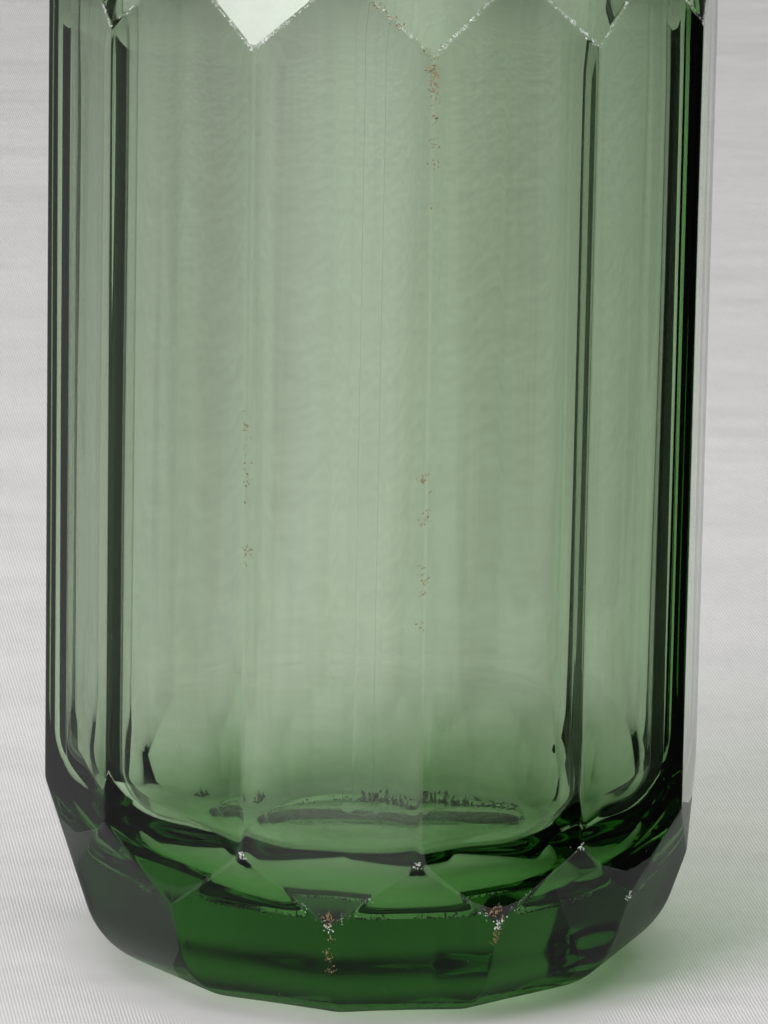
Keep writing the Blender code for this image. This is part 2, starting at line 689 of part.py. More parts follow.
def make_valve_washer():
    outer = HOLDER_RADIUS - HOLDER_RIM_WALL - GAP
    valve_washer = washer("valve_washer", outer, STEM_END_HOLE, WASHER_BASE, WASHER_BASE + WASHER_THICKNESS)
    finish(valve_washer, RUBBER)


def make_valve_nut():
    top = HOLDER_BASE - HUB_LENGTH - GAP
    base = top - VALVE_NUT_HEIGHT
    nut = hex_bar("valve_nut", VALVE_NUT_RADIUS, base, top)
    hole = [((0, 0, base - GAP), (0, 0, top + GAP))]
    combine(nut, rods("valve_nut_hole", hole, STEM_END_HOLE), "DIFFERENCE")
    finish(nut, BRASS)


def make_valve_stem():
    """The rod from the valve to the button, stepped down where the valve is clamped on it."""
    shoulder = WASHER_BASE + WASHER_THICKNESS + GAP
    base = HOLDER_BASE - HUB_LENGTH - GAP - VALVE_NUT_HEIGHT - STEM_END_SPARE
    top = BUTTON_BASE + BUTTON_SOCKET
    profile = [(0, top), (STEM_RADIUS, top), (STEM_RADIUS, shoulder)]
    profile += [(STEM_END_RADIUS, shoulder), (STEM_END_RADIUS, base), (0, base)]
    finish(lathe("valve_stem", profile, SMALL_STEPS), BRASS)


def make_packing():
    """The metal washer and the rubber ring that keep the stem tight."""
    outer = PACKING_BOX_RADIUS - GAP
    base = PACKING_BOX_BASE + GAP
    finish(washer("packing_washer", outer, STEM_HOLE, base, base + PACKING_WASHER), BRASS)
    ring = washer("stem_packing", outer, STEM_HOLE, PACKING_BASE, PACKING_BASE + PACKING_LENGTH)
    finish(ring, RUBBER)


def make_gland_nut():
    spigot = washer("gland_spigot", PACKING_BOX_RADIUS - GAP, STEM_HOLE, GLAND_BASE, HEAD_TOP + 2 * GAP)
    flange = HEAD_TOP + GAP
    nut = hex_bar("gland_nut", GLAND_RADIUS, flange, GLAND_TOP)
    combine(nut, spigot, "UNION")
    hole = [((0, 0, GLAND_BASE - GAP), (0, 0, GLAND_TOP + GAP))]
    combine(nut, rods("gland_hole", hole, STEM_HOLE), "DIFFERENCE")
    finish(nut, CAST_ALLOY)


def make_stem_button():
    """The crowned cap on the stem that the lever pushes."""
    top = BUTTON_BASE + BUTTON_HEIGHT
    sphere = (BUTTON_RADIUS ** 2 + BUTTON_CROWN ** 2) / (2 * BUTTON_CROWN)
    profile = []
    for step in range(FILLET_STEPS + 1):
        radius = BUTTON_RADIUS * step / FILLET_STEPS
        profile.append((radius, top - sphere + (sphere ** 2 - radius ** 2) ** 0.5))
    profile += [(BUTTON_RADIUS, BUTTON_BASE), (STEM_HOLE, BUTTON_BASE)]
    profile += [(STEM_HOLE, BUTTON_BASE + BUTTON_SOCKET + GAP), (0, BUTTON_BASE + BUTTON_SOCKET + GAP)]
    finish(lathe("stem_button", profile, SMALL_STEPS), BRASS)


# Lever and its pivot

def lever_stations():
    """Sections of the lever as (x, height over its face, half width, half depth).

    The bar runs level over the stem and then follows a quarter of an ellipse down to the tip.
    """
    bar = LEVER_BAR_DEPTH / 2
    tip = LEVER_TIP_DEPTH / 2
    level = [LEVER_ARM - (LEVER_ARM + LEVER_BEND_START) * i / LEVEL_SPANS for i in range(LEVEL_SPANS + 1)]
    places = [(level[0], (PIVOT_RISE + bar) / 2)] + [(x, bar) for x in level[1:]]
    for step in range(1, CURVE_SPANS + 1):
        angle = pi / 2 * step / CURVE_SPANS
        x = -LEVER_BEND_START - (LEVER_REACH - tip - LEVER_BEND_START) * sin(angle)
        places.append((x, bar - (LEVER_DROP + bar) * (1 - cos(angle))))
    stations = []
    for index, (x, height) in enumerate(places[:-1]):
        grown = index / (len(places) - 2)
        grown = grown * grown * (3 - 2 * grown)
        half_width = (LEVER_BAR_WIDTH + (LEVER_HANDLE_WIDTH - LEVER_BAR_WIDTH) * grown) / 2
        bent = max(index - LEVEL_SPANS, 0) / CURVE_SPANS
        stations.append((x, height, half_width, bar + (tip - bar) * bent))
    return stations + [(*places[-1], LEVER_TIP_WIDTH / 2, tip)]


def smooth_through(stations, steps):
    """A smooth run of values through each station in turn."""
    ends = [stations[0]] + stations + [stations[-1]]
    run = []
    for a, b, c, d in zip(ends, ends[1:], ends[2:], ends[3:]):
        for step in range(steps):
            t = step / steps
            run.append([0.5 * (2 * q + (r - p) * t + (2 * p - 5 * q + 4 * r - s) * t * t
                               + (3 * q - p - 3 * r + s) * t ** 3)
                        for p, q, r, s in zip(a, b, c, d)])
    return run + [list(stations[-1])]


def oval_ring(centre, along, half_width, half_thickness, sides):
    """A rounded rectangle, square to the lever's run in the XZ plane."""
    lift = Vector((-along.z, 0, along.x))
    ring = []
    for index in range(sides):
        angle = 2 * pi * (index + 0.5) / sides
        across = abs(cos(angle)) ** LEVER_SQUARENESS * (1 if cos(angle) > 0 else -1)
        up = abs(sin(angle)) ** LEVER_SQUARENESS * (1 if sin(angle) > 0 else -1)
        ring.append(centre + Vector((0, across * half_width, 0)) + lift * up * half_thickness)
    return ring


def loft(name, rings):
    """Joins rings of points into one closed solid."""
    bm = bmesh.new()
    rows = [[bm.verts.new(point) for point in ring] for ring in rings]
    for row, after in zip(rows, rows[1:]):
        for index in range(len(row)):
            other = (index + 1) % len(row)
            bm.faces.new((row[index], row[other], after[other], after[index]))
    bm.faces.new(reversed(rows[0]))
    bm.faces.new(rows[-1])
    bmesh.ops.recalc_face_normals(bm, faces=bm.faces)
    mesh = bpy.data.meshes.new(name)
    bm.to_mesh(mesh)
    bm.free()
    return new_object(name, mesh)


def move_origin(obj, place):
    """Puts a mesh object's origin on a point and leaves its shape where it was."""
    obj.data.transform(Matrix.Translation(-place))
    obj.location = place


def make_lever():
    """The thumb lever: an eye on the pivot pin, a bar over the stem and a broad handle."""
    stations = smooth_through(lever_stations(), 4)
    centres = [Vector((x, 0, LEVER_FACE + z)) for x, z, _, _ in stations]
    rings = []
    for index, (_, _, half_width, half_thickness) in enumerate(stations):
        before = centres[max(index - 1, 0)]
        after = centres[min(index + 1, len(centres) - 1)]
        along = (after - before).normalized()
        rings.append(oval_ring(centres[index], along, half_width, half_thickness, 16))
    lever = loft("lever", rings)
    move_origin(lever, PIVOT)
    half = EYE_WIDTH / 2
    eye_line = [((PIVOT.x, -half, PIVOT.z), (PIVOT.x, half, PIVOT.z))]
    hole_line = [((PIVOT.x, -half - GAP, PIVOT.z), (PIVOT.x, half + GAP, PIVOT.z))]
    combine(lever, rods("lever_eye", eye_line, EYE_RADIUS), "UNION")
    combine(lever, rods("lever_hole", hole_line, PIN_HOLE), "DIFFERENCE")
    return finish(lever, CAST_ALLOY)


def make_lever_pin():
    """The pivot pin, turned with its head on the right and threaded for a nut on the left."""
    head = EAR_OUTER + GAP
    tail = EAR_OUTER + 2 * GAP + PIN_NUT_HEIGHT + PIN_TAIL
    profile = [(0, tail), (PIN_RADIUS, tail), (PIN_RADIUS, -head), (PIN_HEAD_RADIUS, -head)]
    profile += [(PIN_HEAD_RADIUS, -head - PIN_HEAD), (0, -head - PIN_HEAD)]
    pin = lathe("lever_pin", profile, SMALL_STEPS)
    pin.location = PIVOT
    pin.rotation_euler = (-pi / 2, 0, 0)
    finish(pin, STEEL)


def make_pin_nut():
    base = EAR_OUTER + GAP
    nut = hex_bar("pin_nut", PIN_NUT_RADIUS, base, base + PIN_NUT_HEIGHT)
    hole = [((0, 0, base - GAP), (0, 0, base + PIN_NUT_HEIGHT + GAP))]
    combine(nut, rods("pin_nut_hole", hole, PIN_HOLE), "DIFFERENCE")
    finish(nut, STEEL)
    for obj in (nut, bpy.data.objects["pin_nut_chamfers"], bpy.data.objects["pin_nut_hole"]):
        obj.location = PIVOT
        obj.rotation_euler = (-pi / 2, 0, 0)


# Spout

def along_spout(obj):
    """Lays a piece that was turned about Z on the spout's axis, with its top towards +X."""
    obj.location = (0, 0, OUTLET_AXIS)
    obj.rotation_euler = (0, pi / 2, 0)


def make_spout_gasket():
    gasket = washer("spout_gasket", UNION_SPIGOT_RADIUS, SPOUT_BORE, SPOUT_GASKET_START,
                    SPOUT_GASKET_START + SPOUT_GASKET)
    along_spout(gasket)
    finish(gasket, RUBBER)


def spout_path():
    """The spout's middle line: level, round one bend and straight down."""
    centre = (SPOUT_DROP_X - SPOUT_BEND, OUTLET_AXIS - SPOUT_BEND)
    bend = arc(centre, SPOUT_BEND, pi / 2, 0, 3 * FILLET_STEPS)
    path = [(SPOUT_START, OUTLET_AXIS)] + bend + [(SPOUT_DROP_X, SPOUT_END)]
    return [Vector((x, 0, z)) for x, z in path]


def make_spout():
    """A bent tube that thins towards its end, with a flange for the union nut."""
    path = spout_path()
    last = len(path) - 1
    scales = [1 + (SPOUT_END_RADIUS / SPOUT_RADIUS - 1) * i / last for i in range(last + 1)]
    spout = tube("spout", path, SPOUT_RADIUS, resolution=6, scales=scales)
    flange = [((SPOUT_START, 0, OUTLET_AXIS), (SPOUT_START + SPOUT_FLANGE, 0, OUTLET_AXIS))]
    combine(spout, rods("spout_flange", flange, SPOUT_FLANGE_RADIUS), "UNION")
    reach = [path[0] - Vector((GAP, 0, 0))] + path[1:-1] + [path[-1] - Vector((0, 0, GAP))]
    combine(spout, tube("spout_passage", reach, SPOUT_BORE, resolution=4), "DIFFERENCE")
    finish(spout, CAST_ALLOY)


def make_spout_nut():
    """The union nut that draws the spout's flange onto the boss."""
    base = BOSS_LENGTH + GAP
    lip = SPOUT_START + SPOUT_FLANGE + GAP
    top = lip + UNION_NUT_LIP
    nut = hex_bar("spout_nut", UNION_NUT_BORE + UNION_NUT_WALL, base, top)
    bore = [(0, top + GAP), (SPOUT_RADIUS + GAP, top + GAP), (SPOUT_RADIUS + GAP, lip)]
    bore += [(UNION_NUT_BORE, lip), (UNION_NUT_BORE, base - GAP), (0, base - GAP)]
    hollow = lathe("spout_nut_bore", bore, SMALL_STEPS)
    combine(nut, hollow, "DIFFERENCE")
    finish(nut, CAST_ALLOY)
    for obj in (nut, hollow, bpy.data.objects["spout_nut_chamfers"]):
        along_spout(obj)


def make_nozzle():
    """The mouthpiece screwed on the spout's end."""
    shoulder = SPOUT_END - GAP
    top = shoulder + NOZZLE_SOCKET
    tip = top - NOZZLE_LENGTH
    socket = SPOUT_END_RADIUS + (SPOUT_RADIUS - SPOUT_END_RADIUS) / 3 + GAP
    waist = (NOZZLE_RADIUS + NOZZLE_TIP_RADIUS) / 2
    profile = [(NOZZLE_RADIUS, top), (NOZZLE_RADIUS, top - NOZZLE_COLLAR)]
    profile += [(waist, top - 2 * NOZZLE_COLLAR), (NOZZLE_TIP_RADIUS, tip), (NOZZLE_BORE, tip)]
    profile += [(NOZZLE_BORE, shoulder), (socket, shoulder), (socket, top)]
    nozzle = lathe("nozzle", profile, SMALL_STEPS, ring=True)
    nozzle.location = (SPOUT_DROP_X, 0, 0)
    finish(nozzle, CAST_ALLOY)


# Motion

def put_on_joints():
    """Hangs the lever on an empty at its pivot, and what slides on one on the bottle's axis."""
    pivot = bpy.data.objects.new("lever_pivot", None)
    slide = bpy.data.objects.new("stem_slide", None)
    pivot.location = PIVOT
    slide.location = (0, 0, BUTTON_BASE)
    for empty in (pivot, slide):
        PARTS.objects.link(empty)
    bpy.context.view_layer.update()
    riders = {pivot: ["lever"], slide: ["valve_stem", "valve_holder", "valve_washer", "valve_nut", "stem_button"]}
    for empty, names in riders.items():
        for name in names:
            piece = bpy.data.objects[name]
            piece.parent = empty
            piece.matrix_parent_inverse = empty.matrix_world.inverted()


make_bottle()
make_neck_rings()
make_neck_gasket()
make_head_body()
make_dip_tube()
make_tube_sleeve()
make_tube_nut()
make_spring_seat()
make_valve_spring()
make_valve_holder()
make_valve_washer()
make_valve_nut()
make_valve_stem()
make_packing()
make_gland_nut()
make_stem_button()
make_lever()
make_lever_pin()
make_pin_nut()
make_spout_gasket()
make_spout()
make_spout_nut()
make_nozzle()
put_on_joints()
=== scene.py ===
"""Looks of the seltzer siphon: thick green pressed glass under a worn cast metal head.

+Z runs up the bottle's axis from the table, the spout points along +X and the lever's
handle along -X. All sizes are in metres.
"""

import json
from math import cos, pi, radians, sin, sqrt, tan

import bmesh
import bpy
import numpy as np
from mathutils import Matrix, Vector


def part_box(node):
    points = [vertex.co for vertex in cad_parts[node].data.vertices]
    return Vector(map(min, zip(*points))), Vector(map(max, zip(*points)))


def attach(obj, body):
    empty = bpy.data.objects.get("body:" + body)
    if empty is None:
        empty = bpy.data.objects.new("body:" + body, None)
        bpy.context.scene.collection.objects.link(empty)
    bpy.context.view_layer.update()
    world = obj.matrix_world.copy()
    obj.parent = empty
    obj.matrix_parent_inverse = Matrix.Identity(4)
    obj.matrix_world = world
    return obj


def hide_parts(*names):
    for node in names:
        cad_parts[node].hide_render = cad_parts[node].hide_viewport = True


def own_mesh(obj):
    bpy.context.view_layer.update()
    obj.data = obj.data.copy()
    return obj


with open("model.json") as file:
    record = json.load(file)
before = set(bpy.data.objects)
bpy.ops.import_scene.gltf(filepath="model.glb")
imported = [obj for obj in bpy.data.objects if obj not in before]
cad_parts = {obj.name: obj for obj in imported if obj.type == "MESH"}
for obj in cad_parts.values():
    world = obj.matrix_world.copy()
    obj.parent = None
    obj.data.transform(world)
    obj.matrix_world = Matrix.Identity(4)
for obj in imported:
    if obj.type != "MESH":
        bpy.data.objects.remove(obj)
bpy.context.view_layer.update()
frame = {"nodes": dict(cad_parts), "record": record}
NODES = frame["nodes"]
GAP = 0.0003                            # between pieces that seat on each other

# Glass body: vertical panels between a leaning heel and three rows of shoulder facets
SIDES = 12
PANEL_ANGLE = 2 * pi / SIDES
BODY_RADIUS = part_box("bottle")[1].x     # over the vertical edges
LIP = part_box("bottle")[1].z
PANEL_RADIUS = BODY_RADIUS * cos(pi / SIDES)
HEEL_TOP = 0.028
HEEL_LEAN = radians(18)
HEEL_ROUNDING = 0.016
BODY_TOP = 0.147
ROW_1_LEAN = radians(16.4)
ROW_2_START = BODY_TOP + 0.0167
ROW_2_LEAN = radians(34)
ROW_3_START = BODY_TOP + 0.0325
ROW_3_LEAN = radians(52)
ROW_3_RADIUS = BODY_RADIUS - (ROW_3_START - BODY_TOP) * tan(ROW_1_LEAN)
EDGE_SOFTNESS = 0.00012                 # how far a rounded edge falls short of the sharp one, over ln 2

# Its rows of facets: distance from the axis, at that height, narrowing with height, azimuth of a facet
PANELS = (PANEL_RADIUS, 0.0, 0.0, PANEL_ANGLE / 2)
HEEL = (BODY_RADIUS, HEEL_TOP, -tan(HEEL_LEAN), 0.0)
ROW_1 = (BODY_RADIUS, BODY_TOP, tan(ROW_1_LEAN), 0.0)
ROW_2 = (PANEL_RADIUS, ROW_2_START, tan(ROW_2_LEAN), PANEL_ANGLE / 2)
ROW_3 = (ROW_3_RADIUS, ROW_3_START, tan(ROW_3_LEAN), 0.0)
FACET_ROWS = (HEEL, PANELS, ROW_1, ROW_2, ROW_3)

# Glass neck, bore and base
NECK_RADIUS = 0.014
NECK_COVE = 0.014
NECK_FOOT_RADIUS = NECK_RADIUS + NECK_COVE * (1 - cos(ROW_3_LEAN))
NECK_FOOT = ROW_3_START + (ROW_3_RADIUS - NECK_FOOT_RADIUS) / tan(ROW_3_LEAN)
NECK_START = NECK_FOOT + NECK_COVE * sin(ROW_3_LEAN)
NECK_SOFTNESS = 0.0005
NECK_REACH = 0.02                       # how far below its foot it can still touch the facets
NECK_TAPER = 120                        # how fast it sinks below the facets there
BEAD_RADIUS = 0.017
BEAD_BASE = LIP - 0.008
LIP_ROUNDING = 0.0015
MOUTH_ROUNDING = 0.0008
BORE_RADIUS = 0.0095
BORE_SOFTNESS = 0.0004
WALL = 0.0053
FLOOR_HEIGHT = 0.017
BOWL_TOP = 0.035                        # where the inner wall starts to round into the floor
BOWL_SOFTNESS = 0.0012
FLOOR_RING_RADIUS = 0.0217              # the step round the inner floor
FLOOR_RING_STEP = 0.0010
FLOOR_RING_SLOPE = 0.0003               # half of the step's width
FLOOR_RING_ROUNDING = 0.00006
PUSH_UP_RADIUS = 0.026
PUSH_UP_DEPTH = 0.004

# Mesh rows of the glass
HALF_PANEL_STEPS = 14
EDGE_CROWDING = 0.75                    # how much closer the mesh lines stand at the edges
PUSH_UP_ROWS = 14
FOOT_ROWS = (0.33, 0.67)                # shares of the way across the standing ring
HEEL_ROWS = 18
ROWS_BELOW_EDGE = (8, 26, 9, 9)         # from one zigzag edge to the next
ROWS_AT_EDGE = (-0.0003, -0.0001, 0, 0.0001, 0.0003, 0.0007)
COVE_ROWS = 24
NECK_ROWS = 8
CAVITY_RUNS = ((LIP - 0.001, 0.196, 14), (0.194, 0.150, 30), (0.147, BOWL_TOP, 20))
BOWL_ROWS = 24
FLOOR_ROWS = 8

# Unevenness of the pressed glass. Waves are given by seed, size, most turns and most rise
WAVES = 10
OUTER_SWELL = 0.00003
OUTER_WAVES = (5, OUTER_SWELL, 5, 60)
OUTER_INSET = 3.2 * OUTER_SWELL         # keeps the waves inside the true size
INNER_WAVES = (9, 0.00006, 6, 40)
FADE_AT_FOOT = 0.02                     # the waves fade out over this towards the foot and the floor's ring
FADE_AT_LIP = 0.05
CAVITY_CORNERS = 0.00033                # how far the cavity bulges towards the upright edges
CAVITY_SHIFT = Vector((-0.0007, 0.0016))
CAVITY_SHIFT_HEIGHTS = (0.185, 0.145)   # from where it is on the axis to where it is fully off it
FLOOR_RING_SHIFT = Vector((0.0018, -0.0003))
FLOOR_SHIFT_RADII = (0.040, 0.022)      # from where the floor follows the wall to where it follows the ring

# Dip tube
TUBE_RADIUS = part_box("dip_tube")[1].x
TUBE_WALL = 0.0018

# Cast head
EDGE_ROUNDING = 0.0006                  # of the head's pieces and the dip tube
HEAD_SMOOTHING = 4
OUTLET_AXIS = (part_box("spout_gasket")[0].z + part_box("spout_gasket")[1].z) / 2
ALONG_OUTLET = Matrix.Translation((0, 0, OUTLET_AXIS)) @ Matrix.Rotation(pi / 2, 4, "Y")
SKIRT_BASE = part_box("head_body")[0].z
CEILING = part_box("neck_gasket")[1].z + GAP
HEAD_TOP = 0.2883
SKIRT_RADIUS = 0.0226
SKIRT_BORE = 0.0198
SKIRT_WALL = 0.0028
SKIRT_BEAD = 0.0011
SKIRT_BAND = 0.0034
FLUTES = 24
FLUTE_RADIUS = 0.0011
FLUTE_INSET = 1.8 * FLUTE_RADIUS        # from a band to the middle of a flute's round end
FLUTE_STEPS = 16
FLUTE_ROWS = 52
SHOULDER_RISE = 0.015
SHOULDER_ROWS = 16
COLUMN_RADIUS = 0.0115
COLUMN_COLLAR = 0.0009
COLUMN_COLLAR_HEIGHT = 0.0024
CHAMBER_RADIUS = 0.0070
CHAMBER_BASE = 0.2547
CHAMBER_TOP = 0.2700
SOCKET_RADIUS = 0.0083
OUTLET_RADIUS = 0.005
PASSAGE_END = COLUMN_RADIUS + 0.002
PASSAGE_STEPS = 48
SEAT_HOLE = 0.0034
PACKING_BOX_RADIUS = 0.006
PACKING_BOX_BASE = 0.2820
BOSS_RADIUS = 0.008
BOSS_START = 0.0074                     # inside the column's wall
BOSS_LENGTH = 0.0205
UNION_SPIGOT_RADIUS = 0.0063
UNION_END = 0.0265
GLAND_RADIUS = 0.0075                   # over the corners
STEM_HOLE = 0.0023

# Lever, its fork and its pin
PIN_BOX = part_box("lever_pin")
PIVOT = Vector(((PIN_BOX[0].x + PIN_BOX[1].x) / 2, 0, (PIN_BOX[0].z + PIN_BOX[1].z) / 2))
ALONG_PIN = Matrix.Translation(PIVOT) @ Matrix.Rotation(-pi / 2, 4, "X")
LEVER_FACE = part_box("stem_button")[1].z + GAP
LEVER_REACH = -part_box("lever")[0].x
LEVER_DROP = LEVER_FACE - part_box("lever")[0].z
LEVER_BEND_START = 0.019
LEVER_BAR_WIDTH = 0.0072
LEVER_BAR_DEPTH = 0.0062
LEVER_HANDLE_WIDTH = 0.018
LEVER_TIP_WIDTH = 0.0124
LEVER_TIP_DEPTH = 0.0048
LEVER_SQUARENESS = 0.6                  # of its section, between 1 for an oval and 0 for a box
LEVER_TRIM = 0.00005                    # half of what comes off its top
LEVER_BAR_STATIONS = 3
LEVER_BEND_STATIONS = 5
LEVER_STEPS = 18                        # from one station to the next
LEVER_SIDES = 56
LEVER_SMOOTHING = 5
EYE_RADIUS = 0.0046
EYE_WIDTH = 0.0076
EAR_RADIUS = 0.0050
EAR_INNER = 0.0041
EAR_OUTER = 0.0073
PIN_RADIUS = 0.002
PIN_HOLE = 0.0023
PIN_HEAD_RADIUS = 0.0034
PIN_HEAD = 0.0015
PIN_CROWN = ((0.6, 0.0001), (1.0, 0.0006))  # the domed head: share of its radius, and how far it drops there
PIN_REACH = 0.02                        # of the pin's line through the lever
PIN_NUT_RADIUS = 0.0039
PIN_NUT_HEIGHT = 0.003
TURNED_ROUNDING = 0.0004                # of the pin and the button

# Button on the stem and the valve's spring below it
BUTTON_CROWN = 0.0013
BUTTON_SOCKET = 0.0022
BUTTON_ROWS = 14
SPRING_WIRE = 0.0009
SPRING_TURNS = 6.5
SPRING_STEPS = 48                       # round one turn
SPRING_GROUND = 0.3 * SPRING_WIRE       # from the ground face to the middle of the wire
SPRING_CLOSED = 1.04 * SPRING_WIRE      # rise of the closed turn at each end
WIRE_SIDES = 14

# Spout, its union nut and the nozzle
SPOUT_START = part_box("spout")[0].x
SPOUT_DROP_X = (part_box("nozzle")[0].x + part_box("nozzle")[1].x) / 2
SPOUT_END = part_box("spout")[0].z
SPOUT_FLANGE = 0.002
SPOUT_FLANGE_RADIUS = 0.006
SPOUT_FLANGE_EDGE = 0.0003
SPOUT_RADIUS = 0.005
SPOUT_END_RADIUS = 0.0042
SPOUT_BORE = 0.0032
SPOUT_BEND = 0.024
LEVEL_ROWS = 10
BEND_ROWS = 41
DROP_ROWS = 8
UNION_NUT_BORE = 0.0066
UNION_NUT_RADIUS = 0.0094
NOZZLE_RADIUS = 0.0065
NOZZLE_TIP_RADIUS = 0.0046
NOZZLE_BORE = 0.0024
NOZZLE_SOCKET = 0.005
NOZZLE_SOCKET_RADIUS = 0.00477
NOZZLE_COLLAR = 0.0025
NOZZLE_ROUNDING = 0.0005

# Fineness and edges of the metal pieces
ROUND_STEPS = 96
HEX_STEPS = 144
HEX_EDGE_ROWS = 6
HEX_SOFTNESS = 0.00008
NUT_EDGE = 0.0003                       # chamfer of a nut's bore
HEAD_VOXEL = 0.0004
LEVER_VOXEL = 0.00028

# The photograph's camera, in its own picture of 768 by 1024 pixels
CAMERA_AZIMUTH = radians(-7.92)
CAMERA_DISTANCE = 1.0284
CAMERA_HEIGHT = 0.3304
CAMERA_TURN = radians(0.06)
CAMERA_PITCH = radians(14.30)
CAMERA_ROLL = radians(1.02)
FOCAL_PIXELS = 7060
PICTURE_HEIGHT = 1024
SENSOR = 36.0
BACK = Vector((sin(CAMERA_AZIMUTH), -cos(CAMERA_AZIMUTH), 0))
RIGHT = Vector((cos(CAMERA_AZIMUTH), sin(CAMERA_AZIMUTH), 0))

# Cards of painted shade, seen only through glass or in its gloss: name, corner, headings of the edges, start,
# reach, tone, and whether seen through glass or in gloss
SHADE_CARDS = (("left_card", (-0.043, -0.022), -37, -150, 0.045, 1.6, 0.012, True),
         ("right_card", (0.022, 0.030), 41, 150, 0.045, 1.6, 0.012, True),
         ("front_gloss_card", (0.0, 0.0), 127, 233, 0.034, 0.078, 0.20, False),
         ("left_foot_card", (0.0, 0.0), -10, -127, 0.034, 0.10, 0.36, False),
         ("right_foot_card", (0.0, 0.0), 10, 127, 0.034, 0.10, 0.28, False),
         ("left_gloss_card", (0.0, 0.0), -18, -127, 0.10, 1.6, 0.20, False),
         ("right_gloss_card", (0.0, 0.0), 48, 150, 0.10, 1.6, 0.02, False))
CARD_LEVEL = 0.0002
CARD_SPACING = 0.00004                  # between cards that lie over each other
CARD_STEPS = 33

# Softboxes: name, azimuth and elevation in degrees, size, power
LAMPS = (("window", -52, 24, (0.8, 0.7), 19),
         ("key", -48, 52, (0.9, 0.9), 12),
         ("top", 30, 78, (1.6, 1.6), 6),
         ("front", 15, 22, (1.5, 0.45), 1.6))
LAMP_DISTANCE = 1.7
LAMP_AIM = Vector((0, 0, 0.12))

# Linen cloth, plain right round the foot, with painted light below it: paler there and faintly glowing
CLOTH_RADIUS = 14
CLOTH_LEVEL = -0.00006                  # a hair below the foot, which rests on the threads
CLOTH_THREADS = 600
# Weave colours: painted shade in the threads' hollows, painted light on their crowns
CLOTH_SHADED_HOLLOWS = (0.525, 0.510, 0.505)
CLOTH_LIT_CROWNS = (0.71, 0.695, 0.690)
CLOTH_DULL = (0.58, 0.563, 0.558)
CLOTH_PLAIN = (0.62, 0.605, 0.60)
# Painted light: the cloth under the foot is far paler than the rest
PAINTED_LIGHT_BELOW_FOOT = (0.90, 0.89, 0.88)
WEAVE_START = (0.044, 0.050)            # distances from the axis between which the weave comes up

# Marks on the glass, at azimuths in degrees from the front
CHIPPED_CORNERS = (-30, 0, 30, -15, 15, 45)
CHIPPED_ARMS = ((-22, -8), (9, 24))
CHIPS_ON_ARM = 20
WORN_STRETCHES = (75, 55)               # on the lower and the upper zigzag of the shoulder
DIRTY_ARM = (-12, 2)
DIRT_ON_ARM = 16
DIRT_IN_RUN = 18
DUST = 260
DUST_HEIGHTS = (0.004, 0.15)

# Dirt down the upright edges: azimuth, lowest and highest point
DIRT_RUNS = ((-30, 0.050, 0.095), (0, 0.122, 0.146), (0, 0.142, 0.1455), (0, 0.062, 0.086),
             (-15, 0.009, 0.020), (15, 0.014, 0.020))

# Crust on the inner floor: first and last azimuth, distance from the ring's middle, number of spots
SILT_ARCS = ((-6, 46, 0.0216, 11), (50, 62, 0.0218, 3), (-66, -58, 0.030, 3), (105, 118, 0.0216, 3))
RING_ARCS = ((-180, -100, 0.0217, 36), (-88, -30, 0.0217, 26), (-20, 84, 0.0217, 50), (92, 170, 0.0217, 36))


# Object helpers

def link(obj):
    """Adds an object to the scene."""
    bpy.context.scene.collection.objects.link(obj)
    return obj


def mesh_object(name, bm, material=None, smooth=True):
    """A new object from a bmesh, which is freed."""
    mesh = bpy.data.meshes.new(name)
    bm.to_mesh(mesh)
    bm.free()
    if material:
        mesh.materials.append(material)
    if smooth:
        mesh.shade_smooth()
    return link(bpy.data.objects.new(name, mesh))


def skin(name, rings, material=None, joined=False):
    """One closed skin through rings of points. A ring of one point is a pole.

    With joined, the last ring meets the first, as round a tube's wall.
    """
    points = []
    starts = []
    for ring in rings:
        starts.append((len(points), len(ring)))
        points.extend(tuple(point) for point in ring)
    pairs = list(zip(starts, starts[1:]))
    if joined:
        pairs.append((starts[-1], starts[0]))
    faces = []
    for (low, low_count), (high, high_count) in pairs:
        for i in range(max(low_count, high_count)):
            corners = [low + i % low_count, high + i % high_count,
                       high + (i + 1) % high_count, low + (i + 1) % low_count]
            faces.append(list(dict.fromkeys(corners)))
    mesh = bpy.data.meshes.new(name)
    mesh.from_pydata(points, [], faces)
    bm = bmesh.new()
    bm.from_mesh(mesh)
    bpy.data.meshes.remove(mesh)
    bmesh.ops.recalc_face_normals(bm, faces=bm.faces)
    return mesh_object(name, bm, material)


def evaluated_mesh(obj):
    """Swaps an object's mesh for what its modifiers make, and takes them off."""
    depsgraph = bpy.context.evaluated_depsgraph_get()
    mesh = bpy.data.meshes.new_from_object(obj.evaluated_get(depsgraph))
    obj.modifiers.clear()
    old = obj.data
    obj.data = mesh
    bpy.data.meshes.remove(old)
    return obj


def cut(obj, cutter):
    """Takes the cutter's space out of the object."""
    boolean = obj.modifiers.new("Cut", "BOOLEAN")
    boolean.operation = "DIFFERENCE"
    boolean.solver = "EXACT"
    boolean.object = cutter
    bpy.context.view_layer.update()
    evaluated_mesh(obj)
    bpy.data.objects.remove(cutter)
    return obj


def cast(name, solids, voxel, smoothing, material):
    """Fuses overlapping solids into one casting with filleted joins and soft edges."""
    bm = bmesh.new()
    for solid in solids:
        bm.from_mesh(solid.data)
        bpy.data.objects.remove(solid)
    casting = mesh_object(name, bm)
    remesh = casting.modifiers.new("Fuse", "REMESH")
    remesh.mode = "VOXEL"
    remesh.voxel_size = voxel
    soften = casting.modifiers.new("Soften", "SMOOTH")
    soften.factor = 0.5
    soften.iterations = smoothing
    bpy.context.view_layer.update()
    evaluated_mesh(casting)
    casting.data.materials.clear()
    casting.data.materials.append(material)
    casting.data.shade_smooth()
    return casting


def dress(piece, body, slot, *nodes):
    """Says what a finished piece rides on and hides the parts that it stands for. slot is not used."""
    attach(piece, body)
    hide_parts(*nodes)
    return piece


# Profiles

